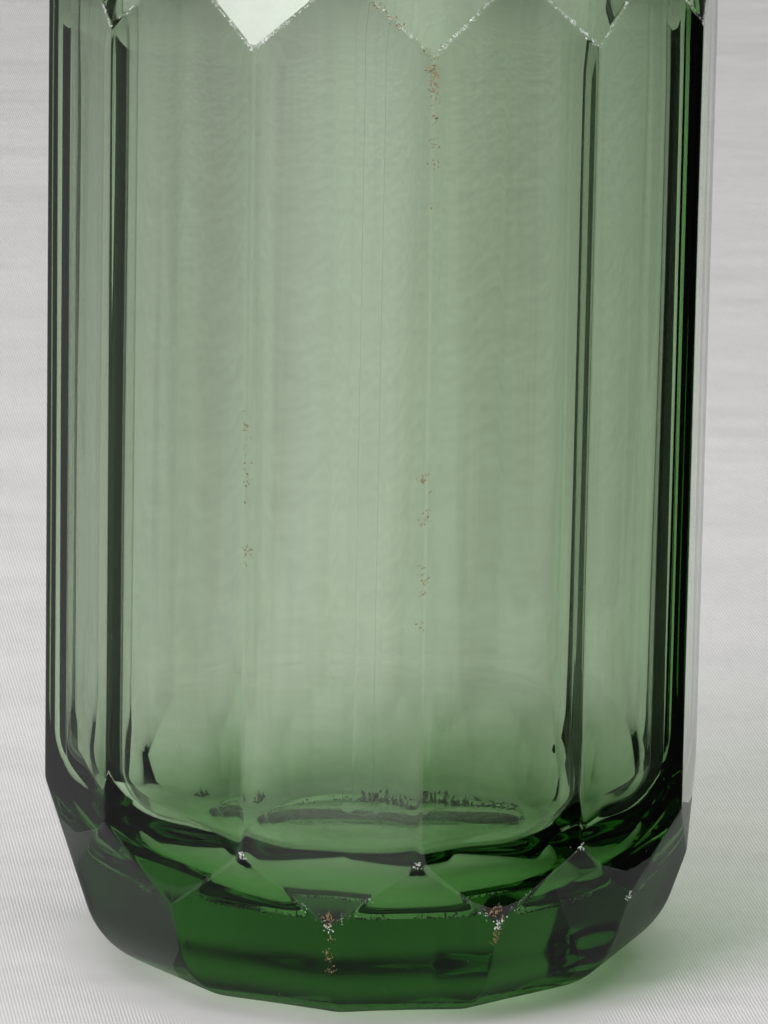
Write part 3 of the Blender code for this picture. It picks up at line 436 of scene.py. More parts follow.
def arc(centre, radius, start, end, steps):
    """Points along an arc, ends included."""
    angles = [start + (end - start) * i / steps for i in range(steps + 1)]
    return [(centre[0] + radius * cos(a), centre[1] + radius * sin(a)) for a in angles]


def dome(radius, rise, top, steps):
    """Points (radius, height) of a shallow dome, from its top outwards."""
    sphere = (radius ** 2 + rise ** 2) / (2 * rise)
    return [(r, top - sphere + sqrt(sphere ** 2 - r ** 2)) for r in np.linspace(0, radius, steps)]


def softened(points, radius, closed=False, steps=4):
    """The same run of points with each corner rounded, as far as its sides allow."""
    count = len(points)
    run = []
    for i, point in enumerate(points):
        if not closed and i in (0, count - 1):
            run.append(tuple(point))
            continue
        corner = Vector(point)
        before = Vector(points[i - 1]) - corner
        after = Vector(points[(i + 1) % count]) - corner
        bend = pi - before.angle(after)
        if bend < 0.1:
            run.append(tuple(point))
            continue
        back = min(radius * tan(bend / 2), 0.45 * before.length, 0.45 * after.length)
        start = corner + before.normalized() * back
        end = corner + after.normalized() * back
        for step in range(steps + 1):
            t = step / steps
            curve = start * (1 - t) ** 2 + corner * 2 * t * (1 - t) + end * t ** 2
            run.append(tuple(curve))
    return run


def full_turn(steps=ROUND_STEPS):
    """Even angles once round."""
    return [2 * pi * i / steps for i in range(steps)]


def turned(profile, place=None, steps=ROUND_STEPS):
    """Rings of a profile of (radius, height) turned about Z, then put in place."""
    place = place or Matrix()
    rings = []
    for radius, height in profile:
        if radius < 1e-7:
            rings.append([place @ Vector((0, 0, height))])
            continue
        rings.append([place @ Vector((radius * cos(a), radius * sin(a), height)) for a in full_turn(steps)])
    return rings


def progress(value, start, end):
    """How far a value has come from start to end, from 0 to 1."""
    return np.clip((value - start) / (end - start), 0, 1)


def crowded(low, high, steps, ends=0.0):
    """Numbers from low to high, closer together near both ends."""
    u = np.linspace(0, 1, steps + 1)
    return low + (high - low) * (u - ends * np.sin(2 * pi * u) / (2 * pi))


def facets(theta, apothem, centred_on, sides=SIDES):
    """Distances along the ray at theta to the three nearest of a ring of upright facets."""
    pitch = 2 * pi / sides
    turn = (theta - centred_on + pitch / 2) % pitch - pitch / 2
    return [apothem / np.cos(turn + shift) for shift in (0, pitch, -pitch)]


def soft_least(values, softness):
    """The least of several values, with the change from one to the next rounded."""
    low = np.min(values, axis=0)
    return low - softness * np.log(sum(np.exp((low - v) / softness) for v in values))


# Glass bottle

def bottle_angles():
    """Azimuths of the mesh lines, crowded at the edges of both staggered sets of facets."""
    half = crowded(0, PANEL_ANGLE / 2, HALF_PANEL_STEPS, EDGE_CROWDING)[:-1]
    return np.concatenate([half + PANEL_ANGLE / 2 * i for i in range(2 * SIDES)])


def zigzag(theta, lower, upper):
    """Height of the edge between two rows of facets, for each azimuth."""
    apex = []
    share = []
    for distance, height, narrowing, centred_on in (lower, upper):
        turn = (theta - centred_on + PANEL_ANGLE / 2) % PANEL_ANGLE - PANEL_ANGLE / 2
        apex.append(distance + height * narrowing)
        share.append(np.cos(turn))
    return (apex[0] * share[1] - apex[1] * share[0]) / (lower[2] * share[1] - upper[2] * share[0])


def heel_distance(z):
    """Distance of the heel facets from the axis: a leaning line with a rounded foot."""
    centre = BODY_RADIUS - (HEEL_TOP - HEEL_ROUNDING) * tan(HEEL_LEAN) - HEEL_ROUNDING / cos(HEEL_LEAN)
    rounded = centre + np.sqrt(np.maximum(HEEL_ROUNDING ** 2 - (HEEL_ROUNDING - z) ** 2, 0))
    leaning = BODY_RADIUS + (z - HEEL_TOP) * tan(HEEL_LEAN)
    return np.where(z < HEEL_ROUNDING * (1 - sin(HEEL_LEAN)), rounded, leaning)


def body_radius(theta, z):
    """Outer radius of the faceted body at each azimuth and height."""
    values = facets(theta, heel_distance(z), HEEL[3])
    for distance, height, narrowing, centred_on in FACET_ROWS[1:]:
        values += facets(theta, distance - (z - height) * narrowing, centred_on)
    return soft_least(values, EDGE_SOFTNESS)


def neck_radius(z):
    """Outer radius of the round neck and the cove at its foot."""
    if z >= NECK_START:
        return NECK_RADIUS
    if z >= NECK_FOOT:
        return NECK_RADIUS + NECK_COVE - sqrt(NECK_COVE ** 2 - (NECK_START - z) ** 2)
    below = NECK_FOOT - z
    return NECK_FOOT_RADIUS + below * tan(ROW_3_LEAN) - NECK_TAPER * below ** 2


def outer_radius(theta, z):
    """Outer radius of the glass below the bead."""
    neck = np.array([neck_radius(height) for height in z])
    body = body_radius(theta, np.minimum(z, NECK_START))
    joined = -soft_least([-body, -neck], NECK_SOFTNESS)
    return np.where(z < NECK_FOOT - NECK_REACH, body, joined)


def ripple(theta, z, seed, size, around, along):
    """Gentle unevenness of pressed glass, which closes on itself round the bottle."""
    draw = np.random.default_rng(seed)
    total = np.zeros_like(theta)
    for _ in range(WAVES):
        turns = draw.integers(1, around + 1)
        rise = draw.uniform(-along, along)
        phase = draw.uniform(0, 2 * pi)
        total += np.sin(turns * theta + rise * z + phase) / sqrt(WAVES)
    return size * total


def rows_up(low, high, steps):
    """Rows above low, up to high."""
    return [low + (high - low) * i / steps for i in range(1, steps + 1)]


def outer_heights(theta):
    """Heights of the outer mesh rows at each azimuth. Rows run along every edge between facets."""
    level = np.ones_like(theta)
    rows = [level * HEEL_ROUNDING * (1 - cos(a)) for a in np.linspace(0, pi / 2 - HEEL_LEAN, HEEL_ROWS)]
    for lower, upper, steps in zip(FACET_ROWS, FACET_ROWS[1:], ROWS_BELOW_EDGE):
        edge = zigzag(theta, lower, upper)
        rows += rows_up(rows[-1], edge - ROWS_AT_EDGE[-1], steps)
        rows += [edge + offset for offset in ROWS_AT_EDGE]
    rows += rows_up(rows[-1], NECK_START, COVE_ROWS)
    return rows + [level * z for z in crowded(NECK_START, BEAD_BASE, NECK_ROWS)[1:]]


def bead_profile():
    """The rounded bead round the mouth, from its underside to the bore."""
    run = [(NECK_RADIUS + LIP_ROUNDING, BEAD_BASE)]
    run += arc((BEAD_RADIUS - LIP_ROUNDING, BEAD_BASE + LIP_ROUNDING), LIP_ROUNDING, -pi / 2, 0, 5)
    run += arc((BEAD_RADIUS - LIP_ROUNDING, LIP - LIP_ROUNDING), LIP_ROUNDING, 0, pi / 2, 6)
    return run + arc((BORE_RADIUS + MOUTH_ROUNDING, LIP - MOUTH_ROUNDING), MOUTH_ROUNDING, pi / 2, pi, 4)


def cavity_radius(z):
    """The cavity's mean radius: one wall inside the facets, and never less than the bore's."""
    lines = ((PANEL_RADIUS, 0.0, 0.0), (BODY_RADIUS, BODY_TOP, ROW_1_LEAN),
             (PANEL_RADIUS, ROW_2_START, ROW_2_LEAN), (ROW_3_RADIUS, ROW_3_START, ROW_3_LEAN))
    radii = [r - (z - start) * tan(lean) - WALL / cos(lean) for r, start, lean in lines]
    return -soft_least([-soft_least(radii, BOWL_SOFTNESS), -BORE_RADIUS], BORE_SOFTNESS)


def cavity_profile():
    """The cavity's (radius, height) from the mouth down to the middle of the floor."""
    points = [(cavity_radius(z), z) for run in CAVITY_RUNS for z in np.linspace(*run)]
    wall = points[-1][0]
    step_top = FLOOR_HEIGHT + FLOOR_RING_STEP
    rim = FLOOR_RING_RADIUS + 2 * FLOOR_RING_SLOPE
    for a in np.linspace(0, pi / 2, BOWL_ROWS)[1:]:
        points.append((rim + (wall - rim) * cos(a), BOWL_TOP - (BOWL_TOP - step_top) * sin(a)))
    points.append((FLOOR_RING_RADIUS + FLOOR_RING_SLOPE, step_top - FLOOR_RING_ROUNDING))
    points.append((FLOOR_RING_RADIUS, step_top - FLOOR_RING_STEP / 2))
    points.append((FLOOR_RING_RADIUS - FLOOR_RING_SLOPE, FLOOR_HEIGHT + FLOOR_RING_ROUNDING))
    return points + [(r, FLOOR_HEIGHT) for r in np.linspace(FLOOR_RING_RADIUS - 0.0007, 0, FLOOR_ROWS)]


def cavity_centre(radius, z):
    """The cavity stands a little off the axis below its shoulder, and the floor's ring the other way."""
    drop = progress(z, *CAVITY_SHIFT_HEIGHTS)
    floor = progress(radius, *FLOOR_SHIFT_RADII) if z < BOWL_TOP else 0
    return CAVITY_SHIFT * drop * (1 - floor) + FLOOR_RING_SHIFT * floor


def bottle_rings():
    """The whole skin, from the middle of the push-up round the outside and in to the inner floor."""
    theta = bottle_angles()
    spokes = np.stack([np.cos(theta), np.sin(theta)], axis=1)

    def ring(radius, z, centre=(0, 0)):
        flat = spokes * np.broadcast_to(radius, theta.shape)[:, None] + np.array(centre)
        return np.column_stack([flat, np.broadcast_to(z, theta.shape)])

    rings = [[(0, 0, PUSH_UP_DEPTH)]]
    rings += [ring(r, z) for r, z in dome(PUSH_UP_RADIUS, PUSH_UP_DEPTH, PUSH_UP_DEPTH, PUSH_UP_ROWS)[1:]]
    foot = outer_radius(theta, 0 * theta)
    rings += [ring(PUSH_UP_RADIUS + (foot - PUSH_UP_RADIUS) * part, 0.0) for part in FOOT_ROWS]
    for z in outer_heights(theta):
        uneven = np.minimum(progress(z, 0, FADE_AT_FOOT), progress(z, LIP, LIP - FADE_AT_LIP))
        swell = ripple(theta, z, *OUTER_WAVES) - OUTER_INSET
        rings.append(ring(outer_radius(theta, z) + swell * uneven, z))
    rings += [ring(r, z) for r, z in bead_profile()]
    corners = CAVITY_CORNERS * np.cos(SIDES * theta)
    for r, z in cavity_profile()[:-1]:
        uneven = progress(z, LIP - FADE_AT_LIP, LIP - 2 * FADE_AT_LIP)
        uneven *= progress(r, FLOOR_RING_RADIUS, FLOOR_RING_RADIUS + FADE_AT_FOOT)
        wavy = ripple(theta, z, *INNER_WAVES)
        rings.append(ring(r + (corners + wavy) * uneven, z, cavity_centre(r, z)))
    rings.append([(*cavity_centre(0, FLOOR_HEIGHT), FLOOR_HEIGHT)])
    return rings


def make_bottle(material):
    return skin("glass_bottle", bottle_rings(), material)


def make_dip_tube(material):
    """The drawn glass tube, fire-polished at both ends."""
    low, high = (corner.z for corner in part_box("dip_tube"))
    inner = TUBE_RADIUS - TUBE_WALL
    profile = [(TUBE_RADIUS, low), (TUBE_RADIUS, high), (inner, high), (inner, low)]
    return skin("glass_dip_tube", turned(softened(profile, EDGE_ROUNDING, True)), material, joined=True)


# Cast head

def flute_depth(theta, z, base, top):
    """Depth of the upright grooves round the skirt, with rounded ends."""
    pitch = 2 * pi / FLUTES
    across = (theta % pitch - pitch / 2) * SKIRT_RADIUS
    beyond = max(base - z, z - top, 0)
    inside = np.maximum(FLUTE_RADIUS ** 2 - across ** 2 - beyond ** 2, 0)
    return np.maximum(np.sqrt(inside) - FLUTE_RADIUS / 3, 0)


def column_and_skirt():
    """The head's turned outside with its fluted, banded skirt, and the stepped bore inside."""
    shoulder = CEILING + SKIRT_WALL
    band = SKIRT_RADIUS + SKIRT_BEAD
    foot = CEILING + SHOULDER_RISE
    collar = HEAD_TOP - COLUMN_COLLAR_HEIGHT
    cove_width = SKIRT_RADIUS - SKIRT_BEAD - COLUMN_RADIUS
    wall_low = SKIRT_BASE + SKIRT_BAND
    wall_high = shoulder - SKIRT_BAND
    outside = [(PACKING_BOX_RADIUS, HEAD_TOP), (COLUMN_RADIUS, HEAD_TOP)]
    outside += [(COLUMN_RADIUS + COLUMN_COLLAR, HEAD_TOP - COLUMN_COLLAR)]
    outside += [(COLUMN_RADIUS + COLUMN_COLLAR, collar), (COLUMN_RADIUS, collar - COLUMN_COLLAR)]
    for step in range(SHOULDER_ROWS + 1):
        angle = pi / 2 * step / SHOULDER_ROWS
        outside.append((COLUMN_RADIUS + cove_width * (1 - cos(angle)), foot - (foot - shoulder) * sin(angle)))
    outside += [(band, shoulder), (band, wall_high), (SKIRT_RADIUS, wall_high)]
    outside += [(SKIRT_RADIUS, z) for z in np.linspace(wall_high, wall_low, FLUTE_ROWS)[1:]]
    outside += [(band, wall_low), (band, SKIRT_BASE), (SKIRT_BORE, SKIRT_BASE)]
    theta = np.linspace(0, 2 * pi, FLUTES * FLUTE_STEPS, endpoint=False)
    rings = []
    for r, z in softened(outside + stepped_bore(), EDGE_ROUNDING, True):
        radius = np.full_like(theta, r)
        if wall_low < z < wall_high and abs(r - SKIRT_RADIUS) < 0.0001:
            radius -= flute_depth(theta, z, wall_low + FLUTE_INSET, wall_high - FLUTE_INSET)
        rings.append([(a * cos(t), a * sin(t), z) for a, t in zip(radius, theta)])
    body = skin("column_and_skirt", rings, joined=True)
    passage = [(0, 0), (SPOUT_BORE, 0), (SPOUT_BORE, PASSAGE_END), (0, PASSAGE_END)]
    return cut(body, skin("passage", turned(passage, ALONG_OUTLET, PASSAGE_STEPS)))


def stepped_bore():
    """Profile of the head's inside, from the ceiling over the glass up to the packing box."""
    return [(SKIRT_BORE, CEILING), (SOCKET_RADIUS, CEILING), (SOCKET_RADIUS, CHAMBER_BASE),
            (CHAMBER_RADIUS, CHAMBER_BASE), (CHAMBER_RADIUS, CHAMBER_TOP), (SEAT_HOLE, CHAMBER_TOP),
            (SEAT_HOLE, OUTLET_AXIS - OUTLET_RADIUS), (OUTLET_RADIUS, OUTLET_AXIS - OUTLET_RADIUS),
            (OUTLET_RADIUS, PACKING_BOX_BASE), (PACKING_BOX_RADIUS, PACKING_BOX_BASE)]


def spout_boss():
    """The boss on the column and the spigot that the spout's nut screws on."""
    profile = [(SPOUT_BORE, BOSS_START), (BOSS_RADIUS, BOSS_START), (BOSS_RADIUS, BOSS_LENGTH)]
    profile += [(UNION_SPIGOT_RADIUS, BOSS_LENGTH), (UNION_SPIGOT_RADIUS, UNION_END), (SPOUT_BORE, UNION_END)]
    return skin("spout_boss", turned(softened(profile, EDGE_ROUNDING, True), ALONG_OUTLET), joined=True)


def fork_cheek(side):
    """One cheek of the lever's fork, bored for the pin."""
    depth = PIVOT.z - OUTLET_AXIS
    outline = []
    for a in full_turn():
        reach = EAR_RADIUS
        if sin(a) < 0:
            reach = min(EAR_RADIUS / max(abs(cos(a)), 1e-6), depth / -sin(a))
        outline.append((PIVOT.x + reach * cos(a), PIVOT.z + reach * sin(a)))
    hole = [(PIVOT.x + PIN_HOLE * cos(a), PIVOT.z + PIN_HOLE * sin(a)) for a in full_turn()]
    runs = [(outline, EAR_INNER), (outline, EAR_OUTER), (hole, EAR_OUTER), (hole, EAR_INNER)]
    rings = [[(x, side * y, z) for x, z in points] for points, y in runs]
    return skin("fork_cheek", rings, joined=True)


def make_head(material):
    solids = [column_and_skirt(), spout_boss(), fork_cheek(1), fork_cheek(-1)]
    return cast("siphon_head", solids, HEAD_VOXEL, HEAD_SMOOTHING, material)


# Lever

def lever_stations():
    """Sections of the lever as (x, height over its face, half width, half depth)."""
    bar = LEVER_BAR_DEPTH / 2
    tip = LEVER_TIP_DEPTH / 2
    level = [PIVOT.x - (PIVOT.x + LEVER_BEND_START) * i / LEVER_BAR_STATIONS
             for i in range(LEVER_BAR_STATIONS + 1)]
    places = [(level[0], (PIVOT.z - LEVER_FACE + bar) / 2)] + [(x, bar) for x in level[1:]]
    for step in range(1, LEVER_BEND_STATIONS + 1):
        angle = pi / 2 * step / LEVER_BEND_STATIONS
        x = -LEVER_BEND_START - (LEVER_REACH - tip - LEVER_BEND_START) * sin(angle)
        places.append((x, bar - (LEVER_DROP + bar) * (1 - cos(angle))))
    stations = []
    for index, (x, height) in enumerate(places[:-1]):
        grown = index / (len(places) - 2)
        grown = grown * grown * (3 - 2 * grown)
        half_width = (LEVER_BAR_WIDTH + (LEVER_HANDLE_WIDTH - LEVER_BAR_WIDTH) * grown) / 2
        bent = max(index - LEVER_BAR_STATIONS, 0) / LEVER_BEND_STATIONS
        stations.append((x, height - LEVER_TRIM, half_width, bar + (tip - bar) * bent - LEVER_TRIM))
    return stations + [(*places[-1], LEVER_TIP_WIDTH / 2, tip)]


def smooth_through(stations, steps):
    """A smooth run of values through each station in turn."""
    ends = [stations[0]] + stations + [stations[-1]]
    run = []
    for a, b, c, d in zip(ends, ends[1:], ends[2:], ends[3:]):
        for step in range(steps):
            t = step / steps
            run.append([0.5 * (2 * q + (r - p) * t + (2 * p - 5 * q + 4 * r - s) * t * t
                               + (3 * q - p - 3 * r + s) * t ** 3)
                        for p, q, r, s in zip(a, b, c, d)])
    return run + [list(stations[-1])]


def section(centre, along, half_width, half_depth):
    """A rounded rectangle, square to the lever's run."""
    lift = Vector((-along.z, 0, along.x))
    ring = []
    for index in range(LEVER_SIDES):
        angle = 2 * pi * (index + 0.5) / LEVER_SIDES
        across = abs(cos(angle)) ** LEVER_SQUARENESS * (1 if cos(angle) > 0 else -1)
        up = abs(sin(angle)) ** LEVER_SQUARENESS * (1 if sin(angle) > 0 else -1)
        ring.append(centre + Vector((0, across * half_width, 0)) + lift * up * half_depth)
    return ring


def lever_bar():
    """The bar over the stem and its broad curved handle, with a rounded tip."""
    stations = smooth_through(lever_stations(), LEVER_STEPS)
    centres = [Vector((x, 0, LEVER_FACE + z)) for x, z, _, _ in stations]
    rounding = LEVER_TIP_DEPTH / 2
    rings = [[centres[0]]]
    for index, (_, _, half_width, half_depth) in enumerate(stations):
        along = centres[min(index + 1, len(centres) - 1)] - centres[max(index - 1, 0)]
        left = (centres[-1] - centres[index]).length
        inset = rounding - sqrt(max(rounding ** 2 - max(rounding - left, 0) ** 2, 0))
        inset = min(inset, half_depth * 0.98)
        rings.append(section(centres[index], along.normalized(), half_width - inset, half_depth - inset))
    rings.append([centres[-1]])
    pin_line = [(0, -PIN_REACH), (PIN_HOLE, -PIN_REACH), (PIN_HOLE, PIN_REACH), (0, PIN_REACH)]
    return cut(skin("lever_bar", rings), skin("pin_line", turned(pin_line, ALONG_PIN)))


def lever_eye():
    """The round eye on the pin."""
    half = EYE_WIDTH / 2
    profile = [(PIN_HOLE, -half), (EYE_RADIUS, -half), (EYE_RADIUS, half), (PIN_HOLE, half)]
    return skin("lever_eye", turned(profile, ALONG_PIN), joined=True)


def make_lever(material):
    solids = [lever_bar(), lever_eye()]
    return cast("thumb_lever_casting", solids, LEVER_VOXEL, LEVER_SMOOTHING, material)


# Nuts and turned pieces

def hexagon(theta, radius, base, top):
    """Rings (radii, height) down a hexagonal bar whose corners are turned off at both ends."""
    flat = radius * cos(pi / 6)
    drops = [(radius - flat) * i / HEX_EDGE_ROWS for i in range(HEX_EDGE_ROWS + 1)]
    rings = []
    for z in [top - drop for drop in drops] + [base + drop for drop in reversed(drops)]:
        turned_off = np.full_like(theta, flat + min(top - z, z - base))
        rings.append((soft_least(facets(theta, flat, pi / 6, 6) + [turned_off], HEX_SOFTNESS), z))
    return rings


def nut(name, radius, base, top, bore, material, place=None, tail=()):
    """A hexagon nut on Z. tail is a run of (radius, height) from its base face to its bore."""
    place = place or Matrix()
    theta = np.linspace(0, 2 * pi, HEX_STEPS, endpoint=False)
    mouth = [(bore, top - NUT_EDGE), (bore + NUT_EDGE, top)]
    tail = list(tail) or [(bore + NUT_EDGE, base), (bore, base + NUT_EDGE)]
    round_rings = [[(np.full_like(theta, r), z) for r, z in run] for run in (mouth, tail)]
    rings = []
    for radii, z in round_rings[0] + hexagon(theta, radius, base, top) + round_rings[1]:
        rings.append([place @ Vector((r * cos(a), r * sin(a), z)) for a, r in zip(theta, radii)])
    return skin(name, rings, material, joined=True)


def make_gland_nut(material):
    low, high = (corner.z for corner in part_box("gland_nut"))
    base = HEAD_TOP + GAP
    spigot = PACKING_BOX_RADIUS - GAP
    tail = [(spigot, base), (spigot, low), (STEM_HOLE, low)]
    return nut("gland_nut_hex", GLAND_RADIUS, base, high, STEM_HOLE, material, tail=tail)


def make_pin_nut(material):
    base = EAR_OUTER + GAP
    return nut("pin_nut_hex", PIN_NUT_RADIUS, base, base + PIN_NUT_HEIGHT, PIN_HOLE, material, ALONG_PIN)


def make_spout_nut(material):
    """The union nut, bored wide over the spout's flange and close round its tube."""
    low, high = (corner.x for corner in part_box("spout_nut"))
    lip = SPOUT_START + SPOUT_FLANGE + GAP
    mouth = SPOUT_RADIUS + GAP
    tail = [(UNION_NUT_BORE, low), (UNION_NUT_BORE, lip), (mouth, lip)]
    return nut("union_nut_hex", UNION_NUT_RADIUS, low, high, mouth, material, ALONG_OUTLET, tail)


def make_lever_pin(material):
    """The pivot pin with its domed head."""
    head, tail = (corner.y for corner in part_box("lever_pin"))
    under = head + PIN_HEAD
    profile = [(0, head)] + [(PIN_HEAD_RADIUS * part, head + drop) for part, drop in PIN_CROWN]
    profile += [(PIN_HEAD_RADIUS, under), (PIN_RADIUS, under), (PIN_RADIUS, tail), (0, tail)]
    return skin("pivot_pin", turned(softened(profile, TURNED_ROUNDING), ALONG_PIN), material)


def spring_rings(low, high, coil):
    """Rings of the wire up a coil with a closed turn at each end, ground flat at low and high."""
    turns = np.linspace(0, SPRING_TURNS, int(SPRING_TURNS * SPRING_STEPS) + 1)
    first, last = low + SPRING_GROUND, high - SPRING_GROUND
    heights = np.interp(turns, [0, 1, SPRING_TURNS - 1, SPRING_TURNS],
                        [first, first + SPRING_CLOSED, last - SPRING_CLOSED, last])
    rings = []
    for turn, height in zip(turns, heights):
        out = Vector((cos(2 * pi * turn), sin(2 * pi * turn), 0))
        ring = []
        for angle in full_turn(WIRE_SIDES):
            point = out * (coil + SPRING_WIRE / 2 * cos(angle))
            point.z = min(max(height + SPRING_WIRE / 2 * sin(angle), low), high)
            ring.append(point)
        rings.append(ring)
    start, end = ([sum(ring, Vector()) / WIRE_SIDES] for ring in (rings[0], rings[-1]))
    return [start, *rings, end]


def make_spring(material):
    """The valve's coil spring."""
    low, high = (corner.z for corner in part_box("valve_spring"))
    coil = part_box("valve_spring")[1].x - SPRING_WIRE / 2
    spring = skin("coil_spring", spring_rings(low, high, coil), material)
    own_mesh(spring)
    return spring


def make_button(material):
    """The crowned cap on the stem that the lever pushes."""
    low, high = (corner.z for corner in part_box("stem_button"))
    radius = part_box("stem_button")[1].x
    profile = dome(radius, BUTTON_CROWN, high, BUTTON_ROWS)
    profile += [(radius, low), (STEM_HOLE, low), (STEM_HOLE, low + BUTTON_SOCKET), (0, low + BUTTON_SOCKET)]
    return skin("thrust_button", turned(softened(profile, TURNED_ROUNDING)), material)


# Spout and nozzle

def spout_path():
    """The spout's middle line with its direction: level, round one bend and straight down."""
    bend_x = SPOUT_DROP_X - SPOUT_BEND
    bend_z = OUTLET_AXIS - SPOUT_BEND
    path = []
    for x in np.linspace(SPOUT_START, bend_x, LEVEL_ROWS):
        path.append((Vector((x, 0, OUTLET_AXIS)), Vector((1, 0, 0))))
    for angle in np.linspace(pi / 2, 0, BEND_ROWS)[1:]:
        place = Vector((bend_x + SPOUT_BEND * cos(angle), 0, bend_z + SPOUT_BEND * sin(angle)))
        path.append((place, Vector((sin(angle), 0, -cos(angle)))))
    for z in np.linspace(bend_z, SPOUT_END, DROP_ROWS)[1:]:
        path.append((Vector((SPOUT_DROP_X, 0, z)), Vector((0, 0, -1))))
    return path


def make_spout(material):
    """A bent tube that thins towards its end, with a flange for the union nut."""
    path = spout_path()
    lengths = np.cumsum([0] + [(b[0] - a[0]).length for a, b in zip(path, path[1:])])

    def ring(place, along, radius):
        lift = along.cross(Vector((0, 1, 0)))
        return [place + Vector((0, radius * cos(a), 0)) + lift * radius * sin(a) for a in full_turn()]

    start, level = path[0]
    face = SPOUT_FLANGE_RADIUS - SPOUT_FLANGE_EDGE
    flange = [(0, SPOUT_BORE), (0, face), (SPOUT_FLANGE_EDGE, SPOUT_FLANGE_RADIUS),
              (SPOUT_FLANGE - SPOUT_FLANGE_EDGE, SPOUT_FLANGE_RADIUS), (SPOUT_FLANGE, face)]
    rings = [ring(start + level * x, level, radius) for x, radius in flange]
    outer = SPOUT_RADIUS + (SPOUT_END_RADIUS - SPOUT_RADIUS) * lengths / lengths[-1]
    for (place, along), length, radius in zip(path, lengths, outer):
        if length > SPOUT_FLANGE:
            rings.append(ring(place, along, radius))
    for place, along in reversed(path[1:]):
        rings.append(ring(place, along, SPOUT_BORE))
    return skin("bent_spout", rings, material, joined=True)


def make_nozzle(material):
    """The mouthpiece screwed on the spout's end."""
    low, high = (corner.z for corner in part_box("nozzle"))
    shoulder = high - NOZZLE_SOCKET
    waist = (NOZZLE_RADIUS + NOZZLE_TIP_RADIUS) / 2
    profile = [(NOZZLE_RADIUS, high), (NOZZLE_RADIUS, high - NOZZLE_COLLAR)]
    profile += [(waist, high - 2 * NOZZLE_COLLAR), (NOZZLE_TIP_RADIUS, low), (NOZZLE_BORE, low)]
    profile += [(NOZZLE_BORE, shoulder), (NOZZLE_SOCKET_RADIUS, shoulder), (NOZZLE_SOCKET_RADIUS, high)]
    place = Matrix.Translation((SPOUT_DROP_X, 0, 0))
    return skin("mouthpiece", turned(softened(profile, NOZZLE_ROUNDING, True), place), material, joined=True)


# Node helpers

def new_material(name):
    """An empty node material and its tree."""
    material = bpy.data.materials.new(name)
    material.use_nodes = True
    material.node_tree.nodes.clear()
    return material, material.node_tree


def add(tree, kind, inputs=None, **settings):
    """Adds a node, sets its properties and then its inputs by name or number."""
    node = tree.nodes.new(kind)
    for key, value in settings.items():
        setattr(node, key, value)
    for key, value in (inputs or {}).items():
        socket = node.inputs[key]
        if isinstance(value, bpy.types.NodeSocket):
            tree.links.new(value, socket)
        else:
            socket.default_value = value
    return node


def new_group(name, inputs, outputs, kind_of_tree="ShaderNodeTree"):
    """An empty node group. inputs are (name, kind, value) and outputs are (name, kind)."""
    group = bpy.data.node_groups.new(name, kind_of_tree)
    for label, kind, value in inputs:
        socket = group.interface.new_socket(name=label, in_out="INPUT", socket_type="NodeSocket" + kind)
        if value is not None:
            socket.default_value = value
    for label, kind in outputs:
        group.interface.new_socket(name=label, in_out="OUTPUT", socket_type="NodeSocket" + kind)
    return group, group.nodes.new("NodeGroupInput").outputs


def close_group(group, results):
    """Links a group's results to its outputs."""
    add(group, "NodeGroupOutput", results)
    return group


def use_group(tree, group, inputs):
    """Places a group in a material with its own values."""
    return add(tree, "ShaderNodeGroup", inputs, node_tree=group).outputs


def object_place(tree):
    """Where a point is on its piece, in metres."""
    return add(tree, "ShaderNodeTexCoord").outputs["Object"]


def compute(tree, operation, *values):
    """One step of arithmetic."""
    return add(tree, "ShaderNodeMath", dict(enumerate(values)), operation=operation).outputs[0]


def times(tree, first, second):
    """The product of two values."""
    return compute(tree, "MULTIPLY", first, second)


def between(tree, value, low, high, start=0.0, end=1.0):
    """start below low, end above high, and a smooth change between them."""
    limits = {"Value": value, "From Min": low, "From Max": high, "To Min": start, "To Max": end}
    return add(tree, "ShaderNodeMapRange", limits, interpolation_type="SMOOTHSTEP").outputs[0]


def noise(tree, place, scale, detail=3.0, rough=0.55, stretch=(1, 1, 1)):
    """Cloudy noise from 0 to 1."""
    spread = add(tree, "ShaderNodeMapping", {"Vector": place, "Scale": stretch}).outputs[0]
    inputs = {"Vector": spread, "Scale": scale, "Detail": detail, "Roughness": rough}
    return add(tree, "ShaderNodeTexNoise", inputs).outputs["Fac"]


def mixed(tree, factor, first, second):
    """One colour laid over another."""
    colours = {"Factor": factor, 6: rgba(first), 7: rgba(second)}
    return add(tree, "ShaderNodeMix", colours, data_type="RGBA").outputs[2]


def rgba(colour):
    return (*colour, 1) if isinstance(colour, tuple) else colour


def opaque(tree, colour, rough, metallic, height, strength, depth):
    """The surface of a solid material, with its relief."""
    bump = add(tree, "ShaderNodeBump", {"Height": height, "Strength": strength, "Distance": depth})
    shader = add(tree, "ShaderNodeBsdfPrincipled", {
        "Base Color": colour, "Roughness": rough, "Metallic": metallic, "Normal": bump.outputs["Normal"]})
    add(tree, "ShaderNodeOutputMaterial", {"Surface": shader.outputs[0]})


# Shared effects

def make_wear():
    """Rubbed edges and dirty corners, broken up by noise."""
    group, given = new_group("edge_wear", [("Position", "Vector", None), ("Patchiness", "Float", 300.0)],
                             [("Rubbed", "Float"), ("Dirt", "Float")])
    point = add(group, "ShaderNodeNewGeometry").outputs["Pointiness"]
    patches = noise(group, given["Position"], given["Patchiness"])
    uneven = compute(group, "MULTIPLY_ADD", patches, 0.09, -0.045)
    sharp = compute(group, "ADD", point, uneven)
    hollow = compute(group, "SUBTRACT", point, uneven)
    return close_group(group, {"Rubbed": between(group, sharp, 0.515, 0.575),
                               "Dirt": between(group, hollow, 0.485, 0.425)})


